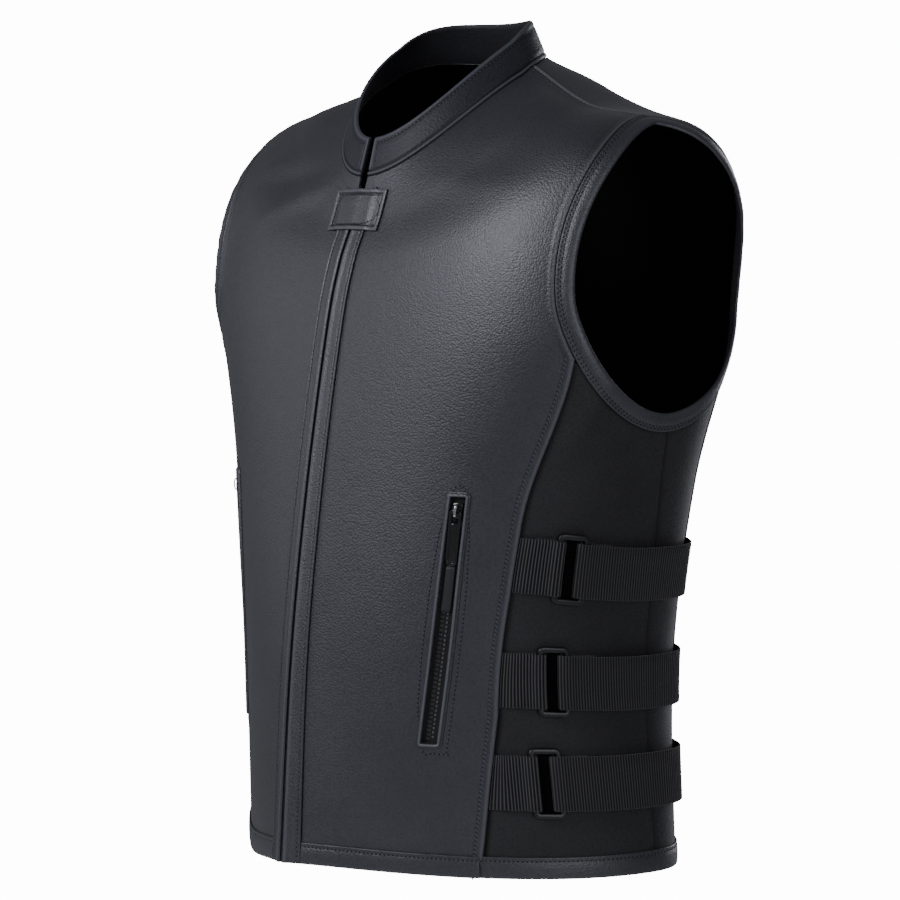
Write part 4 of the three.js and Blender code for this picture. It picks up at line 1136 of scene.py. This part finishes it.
def rowTree(name, blocky):
    tree = bpy.data.node_groups.new(name, "GeometryNodeTree")
    sockets = {
        "Geometry": "Geometry", "Pitch": "Float", "Size": "Vector", "Shift": "Vector", "Slant": "Float",
        "Material": "Material",
    }
    for socket, kind in sockets.items():
        tree.interface.new_socket(socket, in_out="INPUT", socket_type=f"NodeSocket{kind}")
    tree.interface.new_socket("Geometry", in_out="OUTPUT", socket_type="NodeSocketGeometry")
    given = addNode(tree, "NodeGroupInput").outputs

    def add(kind, output, values=None, **settings):
        return addNode(tree, kind, values, **settings).outputs[output]

    curve = add("GeometryNodeMeshToCurve", "Curve", {"Mesh": given["Geometry"]})
    spacing = {"Curve": curve, "Length": given["Pitch"]}
    even = add("GeometryNodeResampleCurve", "Curve", spacing, mode="LENGTH")
    out = add("GeometryNodeInputNamedAttribute", "Attribute", {"Name": "out"}, data_type="FLOAT_VECTOR")
    axes = {"Primary Axis": out, "Secondary Axis": add("GeometryNodeInputTangent", "Tangent")}
    turn = add("FunctionNodeAxesToRotation", "Rotation", axes, primary_axis="Z", secondary_axis="X")
    slant = add("ShaderNodeCombineXYZ", "Vector", {"Z": given["Slant"]})
    turns = {"Rotation": turn, "Rotate By": add("FunctionNodeEulerToRotation", "Rotation", {"Euler": slant})}
    turned = add("FunctionNodeRotateRotation", "Rotation", turns, rotation_space="LOCAL")
    if blocky:
        block = add("GeometryNodeMeshCube", "Mesh", {"Size": (1, 1, 1)})
        softened = {"Mesh": block, "Level": 2, "Edge Crease": 0.62}
        shape = add("GeometryNodeSubdivisionSurface", "Mesh", softened)
    else:
        shape = add("GeometryNodeMeshUVSphere", "Mesh", {"Segments": 8, "Rings": 5, "Radius": 0.5})
    sizes = {"Geometry": shape, "Scale": given["Size"], "Translation": given["Shift"]}
    sized = add("GeometryNodeTransform", "Geometry", sizes)
    spots = {"Points": even, "Instance": sized, "Rotation": turned}
    placed = add("GeometryNodeInstanceOnPoints", "Instances", spots)
    real = add("GeometryNodeRealizeInstances", "Geometry", {"Geometry": placed})
    soft = add("GeometryNodeSetShadeSmooth", "Geometry", {"Geometry": real})
    last = add("GeometryNodeSetMaterial", "Geometry", {"Geometry": soft, "Material": given["Material"]})
    addNode(tree, "NodeGroupOutput", {"Geometry": last})
    return tree


beadRow = rowTree("row of beads", False)
blockRow = rowTree("row of blocks", True)


def applied(piece):
    depsgraph = bpy.context.evaluated_depsgraph_get()
    shown = piece.evaluated_get(depsgraph)
    mesh = bpy.data.meshes.new_from_object(shown, preserve_all_data_layers=True, depsgraph=depsgraph)
    piece.modifiers.clear()
    piece.data = mesh
    return piece


def makeRow(name, tree, lines, material, pitch, size, shift=(0, 0, 0), slant=0):
    points, outs = (np.concatenate(stretches) for stretches in zip(*lines))
    edges, start = [], 0
    for line, _ in lines:
        edges += [(start + i, start + i + 1) for i in range(len(line) - 1)]
        start += len(line)
    mesh = bpy.data.meshes.new(name)
    mesh.from_pydata((points * mm).tolist(), edges, [])
    attribute = mesh.attributes.new("out", "FLOAT_VECTOR", "POINT")
    attribute.data.foreach_set("vector", outs.astype(np.float32).ravel())
    piece = bpy.data.objects.new(name, mesh)
    bpy.context.collection.objects.link(piece)
    modifier = piece.modifiers.new("row", "NODES")
    modifier.node_group = tree
    values = {
        "Pitch": pitch * mm, "Size": [value * mm for value in size], "Shift": [value * mm for value in shift],
        "Slant": math.radians(slant), "Material": material,
    }
    for item in tree.interface.items_tree:
        if item.name in values:
            modifier[item.identifier] = values[item.name]
    applied(piece)
    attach(piece, "root")
    return piece


def placesInside(grid, distance):
    gone = lengthAlong(surfaceAt(grid))
    return np.stack([
        [np.interp(distance, gone[:, j], grid[:, j, k]) for k in (0, 1)] for j in range(grid.shape[1])])


def stitchBothSides(style, places, out):
    for side, sign in sides.items():
        stitchAlong(f"{style}_{side}" if style == "rope" else style, mirroredPlaces(places, sign), out)


def stitchHem(low, base, stitched):
    places = hemPlaces(low)[hemLook["steps"].index(hemLook["stitch"])]
    puff = hemLook["puff"] * math.sin(math.pi * hemLook["stitch"] / form["hemBand"])
    stitched("plain", places, base + form["gap"] + form["trimWall"] + puff - 0.2)


neckTab = makeTab()
line = panelLook["stitchLine"]
stitchBothSides("rope", nudge(frontSeamPlaces, -line), 0.2)
stitchBothSides("rope", nudge(backSeamPlaces, line), 0.2)
stitchBothSides("plain", placesInside(frontGrid[::-1], panelLook["shoulderLine"])[1:-1], 0.25)
frontLow = frontGrid[0]
stitchHem(frontLow[frontLow[:, 0] > frontHemAngles[0]], 0, stitchBothSides)
for grid in sideGrids.values():
    stitchHem(grid[0], -form["sideInset"], stitchBothSides)
stitchHem(backGrid[0], 0, stitchAlong)
edgeLine = edgeRows[(edgeRows > 0.02) & (edgeRows < edgeLook["stitchTopRow"])]
foldPlaces = frontEdgePlaces(edgeLine, edgeLook["stitch"])
stitchBothSides("plain", foldPlaces, form["gap"] + form["trimWall"] - 0.25)
for side in sides:
    point, inward, out = bindingFrames(side)
    for across in bindingLook["stitches"]:
        ring = point + inward * across + out * 0.72
        addStitches("plain", np.vstack([ring, ring[:1]]), np.vstack([out, out[:1]]))
collarStart = neckCorner[0] + 2.5
collarAngle = np.linspace(collarStart, 2 * form["centreBack"] - collarStart, collarForm["stations"])
foot, base, top, out = collarFrames(collarAngle)
tall = np.linalg.norm(top - base, axis=-1)[:, None]
addStitches("plain", lerp(base, top, 1 - collarForm["stitchFromTop"] / tall) + out * 0.1, out)
print("stitch lines laid")


# Pockets: the opening, its welt, the zip behind it and the pull
pocket = {
    "topX": 136.5, "topZ": -304.5, "bottomX": 113, "bottomZ": -485.5, "opening": 12, "welt": 4, "corner": 4.5,
    "sideways": 0.86, "cutDeep": 4, "stitchOutside": 3.6,
}
zipLook = {
    "tape": -2.6, "ribs": -1.75, "ribSize": (1.9, 3.5, 0.8), "dots": 1.75, "dotSize": (1.7, 1.7, 0.9),
    "pitch": 3.25, "centrePitch": 3.2, "centreSize": (1.7, 2.4, 1.0), "centreAcross": 0.85,
    "centreTopRow": 5.55,
}
slider = {"width": 8.4, "length": 12, "wall": 2.2, "fromEnd": 4}
crown = {"width": 2, "reach": 4.4, "inside": 3, "wall": 1.1}
pull = {"width": 9.4, "height": 42, "corner": 4.2, "wall": 1.3, "bar": 2.2, "endRise": 1.5, "plateFrom": 10.5}
tag = {"width": 7, "length": 34, "rise": 0.4, "wall": 0.9}
pocketRun = np.array([pocket["topX"] - pocket["bottomX"], pocket["topZ"] - pocket["bottomZ"]])
pocketLength = float(np.hypot(pocketRun[0] / pocket["sideways"], pocketRun[1]))
sliderMiddle = pocketLength / 2 - slider["fromEnd"] - slider["length"] / 2
sliderLow = zipLook["tape"] + form["gap"]
sliderHigh = sliderLow + slider["wall"]


def onPocket(side):
    def at(across, along, out):
        values = (np.asarray(value, float) for value in (across, along, out))
        across, along, out = np.broadcast_arrays(*values)
        x = (pocket["topX"] + pocket["bottomX"]) / 2 + pocketRun[0] / pocketLength * along
        z = (pocket["topZ"] + pocket["bottomZ"]) / 2 + pocketRun[1] / pocketLength * along
        places = mirroredPlaces(placesOnFront(x + across * pocket["sideways"], z), sides[side])
        return surfaceAt(places) + frameAt(places)["out"] * out[..., None]
    return at


def cutOpening(side, at):
    front = panels[f"front_{side}"]
    half, end, deep = pocket["opening"] / 2, pocketLength / 2, pocket["cutDeep"]
    across, out = np.array([(-half, -deep), (half, -deep), (half, deep), (-half, deep)]).T
    loops = np.stack([at(across, along, out) for along in np.linspace(-end, end, 16)])
    cutter = bpy.data.objects.new("cutter", bpy.data.meshes.new("cutter"))
    around = [(k, (k + 1) % 4) for k in range(4)]
    last = 4 * (len(loops) - 1)
    faces = [[i + a, i + b, i + 4 + b, i + 4 + a] for i in range(0, last, 4) for a, b in around]
    faces += [[3, 2, 1, 0], [last, last + 1, last + 2, last + 3]]
    cutter.data.from_pydata((loops.reshape(-1, 3) * mm).tolist(), [], faces)
    turnOutwards(cutter.data)
    cutter.data.materials.append(leather)
    bpy.context.collection.objects.link(cutter)
    cut = front.modifiers.new("pocket opening", "BOOLEAN")
    cut.operation = "DIFFERENCE"
    cut.solver = "EXACT"
    cut.object = cutter
    applied(front)
    bpy.data.objects.remove(cutter)
    front.data.set_sharp_from_angle(angle=math.radians(50))


def makeWelt(side, at):
    welt, edge = pocket["welt"], pocket["corner"]
    inner = edge - welt
    size = {"width": pocket["opening"] + 2 * welt, "height": pocketLength + 2 * welt, "corner": edge}
    section = [      # across, out, shade: painted highlight on the roll, painted shade in its grooves and down into the opening
        (edge, 0.3, -0.5), (edge - 0.5, 0.5, 0), (edge - 1.0, 0.45, -0.9), (edge - 1.4, 0.75, -0.7),
        (edge - 1.8, 1.3, 0.2), (edge - 2.4, 1.75, 0.75), (edge - 3.0, 1.75, 0.85), (edge - 3.6, 1.4, 0.5),
        (inner, 0.8, 0), (inner - 0.4, 0.2, -0.8), (inner - 0.45, -1.9, -1), (inner - 0.1, -1.9, -1),
        (inner - 0.05, 0.3, -0.8),
    ]
    loops = frameLoops(size, [spot[:2] for spot in section], at, 5, 48, 6)
    shade = np.broadcast_to([spot[2] for spot in section], loops.shape[:2])
    node = f"pocket_welt_{side}"
    return loftPiece(f"{node}_frame", loops, leather, True, shade, replaced=[node], slot="leather")


def stitchPocket(at):
    away = pocket["welt"] + pocket["stitchOutside"]
    half, end = pocket["opening"] / 2 + away, pocketLength / 2 + away
    corners = np.array([(half, -end), (half, end), (-half, end), (-half, -end), (half, -end)], float)
    across, along = evenPath(corners, 2.0)[0].T
    near, far = at(across, along, 0.15), at(across, along, 1.15)
    addStitches("plain", near, far - near)


def makeSlider(side, at):
    shares = [      # along, wide, low
        (0, 0.55, 0.3), (0.04, 0.7, 0.15), (0.2, 0.86, 0), (0.5, 1, 0), (0.8, 1, 0), (0.95, 0.88, 0.15),
        (1, 0.7, 0.35),
    ]
    long, half = slider["length"], slider["width"] / 2
    stations = [
        (sliderMiddle + (share - 0.5) * long, half * wide, sliderLow, sliderHigh - low)
        for share, wide, low in shares]
    node = f"pocket_slider_{side}"
    loftPiece(f"{node}_body", roundedLoops(at, stations, 0.6), enamel, replaced=[node], slot="zip_metal")


def makeCrown(side, at):
    foot = sliderHigh + form["gap"] - 0.25
    roof = sliderHigh + form["gap"] + crown["inside"] + crown["wall"] / 2
    reach = crown["reach"]
    half = [(reach, foot), (reach, roof - 1.2), (reach - 1.2, roof)]
    line = evenPath([(-across, out) for across, out in half] + half[::-1], 0.4)[0]
    wide = crown["width"] / 2
    across, up = np.array([
        (-wide, -0.4), (-wide + 0.4, -1), (wide - 0.4, -1), (wide, -0.4), (wide, 0.4), (wide - 0.4, 1),
        (-wide + 0.4, 1), (-wide, 0.4)]).T
    up = up * crown["wall"] / 2
    loops = np.stack([
        at(across, sliderMiddle + spot[0] + away[0] * up, spot[1] + away[1] * up)
        for spot, away in zip(line, besideLine(line))])
    node = f"pocket_crown_{side}"
    loftPiece(f"{node}_arch", loops, nickel, replaced=[node], slot="zip_metal")


def pullFrame(at):
    pivotOut = sliderHigh + form["gap"] + crown["inside"] / 2
    pivot = at(0, sliderMiddle, pivotOut)
    end = at(0, sliderMiddle - pull["height"] + pull["bar"], zipLook["tape"] + pull["endRise"])
    along = unit(pivot - end)
    across = at(1, sliderMiddle, pivotOut) - at(-1, sliderMiddle, pivotOut)
    across = unit(across - along * (across @ along))
    out = np.cross(across, along)
    if out[1] > 0:
        out = -out
    middle = pivot + along * (pull["bar"] - pull["height"]) / 2

    def onPull(side, up, away):
        side, up, away = (np.asarray(value, float)[..., None] for value in (side, up, away))
        return middle + across * side + along * up + out * away
    return onPull


def makePull(side, at):
    onPull = pullFrame(at)
    edge, inner, thick = pull["corner"], pull["corner"] - pull["bar"], pull["wall"] / 2
    section = [
        (edge, -thick + 0.3), (edge - 0.35, -thick), (inner + 0.35, -thick), (inner, -thick + 0.3),
        (inner, thick - 0.3), (inner + 0.35, thick), (edge - 0.35, thick), (edge, thick - 0.3),
    ]
    body, node = f"pull_{side}", f"pocket_pull_{side}"
    loops = frameLoops(pull, section, onPull, 7, 6, 2)
    loftPiece(f"{node}_ring", loops, enamel, True, body=body, replaced=[node], slot="zip_metal")
    half, bottom = pull["width"] / 2 - pull["bar"] + 0.1, -pull["height"] / 2 + pull["bar"] - 0.3
    top = pull["height"] / 2 - pull["plateFrom"]
    stations = [     # the thin plate inside the frame: along, half width, low, high
        (bottom, half * 0.8, -0.35, 0.2), (bottom + 1, half, -0.35, 0.25), (0, half, -0.35, 0.32),
        (top - 1, half, -0.35, 0.3), (top, half * 0.85, -0.3, 0.15),
    ]
    loftPiece(f"{node}_plate", roundedLoops(onPull, stations, 0.2), enamel, body=body, slot="zip_metal")


def makeTag(side, at):
    top = sliderMiddle - pull["height"] + pull["bar"] / 2 - form["gap"]
    low = zipLook["tape"] + tag["rise"]
    stations = []
    for share in np.linspace(0, 1, 15):
        wave = 0.12 * math.sin(share * 7.0)
        half = tag["width"] / 2 * (0.96 if share in (0, 1) else 1)
        stations.append((top - tag["length"] * share, half, low + wave, low + tag["wall"] + wave))
    node = f"pocket_pull_tag_{side}"
    loops = roundedLoops(at, stations, 0.25)
    loftPiece(f"{node}_strip", loops, tagCloth, body=f"pull_{side}", replaced=[node], slot="zip_tape")


def zipLine(at, across, low, high):
    along = np.linspace(low, high, 60)
    near, far = at(across, along, zipLook["tape"]), at(across, along, zipLook["tape"] + 1)
    return near, far - near


ribLines, dotLines = [], []
for side in sides:
    at = onPocket(side)
    cutOpening(side, at)
    stitchPocket(at)
    makeWelt(side, at)
    makeSlider(side, at)
    makeCrown(side, at)
    makePull(side, at)
    makeTag(side, at)
    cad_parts[f"pocket_zip_tape_{side}"].material_slots[0].material = tapeCloth
    low, high = -pocketLength / 2 + 3, sliderMiddle - 4
    ribLines.append(zipLine(at, zipLook["ribs"], low, high))
    dotLines.append(zipLine(at, zipLook["dots"], low + zipLook["pitch"] / 2, high))
makeRow("pocket_zip_ribs", blockRow, ribLines, teethPlastic, zipLook["pitch"], zipLook["ribSize"])
# The second row of teeth is coloured lighter than the first.
makeRow("pocket_zip_beads", blockRow, dotLines, lighterTeeth, zipLook["pitch"], zipLook["dotSize"])

# The closed zip in the depth of the gap between the fronts
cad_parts["centre_zip_tape"].material_slots[0].material = tapeCloth
centreRows = edgeRows[(edgeRows > 0.05) & (edgeRows < zipLook["centreTopRow"])]
for k, across in enumerate((-zipLook["centreAcross"], zipLook["centreAcross"])):
    places = np.stack([angleAtWidth(np.full(len(centreRows), across), centreRows), centreRows], -1)
    centreLine = (lifted(places, zipLook["tape"] + 0.05)[::-1 if k else 1], frameAt(places)["out"])
    shift = (k * zipLook["centrePitch"] / 2, 0, 0)
    makeRow(f"centre_zip_teeth_{k + 1}", blockRow, [centreLine], teethPlastic, zipLook["centrePitch"],
            zipLook["centreSize"], shift)
print("pockets and zips made")

for style, look in rowLooks.items():
    pitch, slant, lines = look["pitch"], look["slant"], stitchRows[style]
    makeRow(f"stitches_{style}", beadRow, lines, thread, pitch, look["size"], slant=slant)
    # Near-black sunk beads between the stitches paint the shade in the needle holes.
    sunk, hole = (pitch / 2, 0, -holeSink), look["hole"]
    makeRow(f"needle_holes_{style}", beadRow, lines, holeShade, pitch, hole, sunk, slant)
print("stitches made")


# Cloth: the size that each piece was cut to
def cutOf(points, closed):
    wide = np.linalg.norm(np.diff(points, axis=1), axis=-1)
    long = np.linalg.norm(np.diff(points, axis=0), axis=-1)
    if closed:               # a folded strip, measured as half of the way round it
        width = (wide.sum(1) + np.linalg.norm(points[:, -1] - points[:, 0], axis=-1)).max() / 2
        area = (wide[:-1] + wide[1:]).sum(1) / 2 * long.mean(1) / 2
        return width * mm, long.sum(0).max() * mm, area.sum() * mm * mm
    a, b = points[1:, 1:] - points[:-1, :-1], points[1:, :-1] - points[:-1, 1:]
    area = np.linalg.norm(np.cross(a, b), axis=-1).sum() / 2
    return wide.sum(1).max() * mm, long.sum(0).max() * mm, area * mm * mm


flats = []


def declare(piece):
    width, length, area = cutOf(*cuts[piece.name])
    box = width * length
    round(min(max(area, 0.31 * box), 0.999 * box), 5)
    flats.append(f"{piece.name} {width * 1000:.0f} x {length * 1000:.0f} mm, {area * 10000:.0f} cm2")


for side in sides:
    front = panels[f"front_{side}"]
    declare(front)
    for part in sideGrids:
        declare(panels[f"side_{part}_{side}"])
    declare(trims[f"armhole_binding_{side}"])
declare(panels["back"])
declare(trims["collar"])
declare(neckTab)
for name, piece in strapPieces.items():
    declare(piece)
print("\n".join(flats))


# Studio: pale floor, soft lights and a white surround
studio = {
    "floor": -0.95, "floorRadius": 1.25, "surround": 0.17, "surroundColour": (0.93, 0.96, 1, 1),
    "background": 14.0, "lampColour": (0.91, 0.91, 1.0),
    "lamps": {
        "key": {"at": (-0.5, -2.8, 1.15), "size": 1.2, "power": 64},
        "left": {"at": (2.9, -1.2, 0.1), "size": 1.4, "power": 24},
        "right": {"at": (-2.6, -1.6, 0.2), "size": 1.4, "power": 8},
        "back": {"at": (-0.4, 3.0, 0.1), "size": 1.6, "power": 34},
    },
}


def makeStudio():
    bpy.ops.mesh.primitive_circle_add(
        vertices=96, radius=studio["floorRadius"], fill_type="NGON", location=(0, 0, studio["floor"]))
    floor = bpy.context.object
    floor.name = "floor"
    floor.data.materials.append(floorPaint())
    world = bpy.data.worlds.new("studio")
    bpy.context.scene.world = world
    world.use_nodes = True
    tree = world.node_tree
    tree.nodes.clear()
    seen = addNode(tree, "ShaderNodeLightPath").outputs["Is Camera Ray"]
    white = addNode(tree, "ShaderNodeBackground", {"Color": (1, 1, 1, 1), "Strength": studio["background"]})
    around = {"Color": studio["surroundColour"], "Strength": studio["surround"]}
    soft = addNode(tree, "ShaderNodeBackground", around)
    mix = addNode(tree, "ShaderNodeMixShader", {"Fac": seen, 1: soft.outputs[0], 2: white.outputs[0]})
    addNode(tree, "ShaderNodeOutputWorld", {"Surface": mix.outputs[0]})
    for name, lamp in studio["lamps"].items():
        data = bpy.data.lights.new(name, "AREA")
        data.size = lamp["size"]
        data.energy = lamp["power"]
        data.color = studio["lampColour"]
        light = bpy.data.objects.new(name, data)
        light.location = lamp["at"]
        light.rotation_euler = (Vector(lamp["at"]) - Vector((0, 0, -0.3))).to_track_quat("Z", "Y").to_euler()
        bpy.context.collection.objects.link(light)


def floorPaint():
    material, tree, main, place = newMaterial("pale floor", {"Specular IOR Level": 0.1})
    mottle = noise(tree, place, 6.0, 3.0).outputs["Fac"]
    setInputs(tree, main, {
        "Base Color": mixColours(tree, ranged(tree, mottle, 0.3, 0.7), (0.86, 0.86, 0.86), (0.9, 0.9, 0.9)),
        "Roughness": ranged(tree, mottle, 0.3, 0.7, 0.8, 0.95),
    })
    return material


makeStudio()
print("studio made")
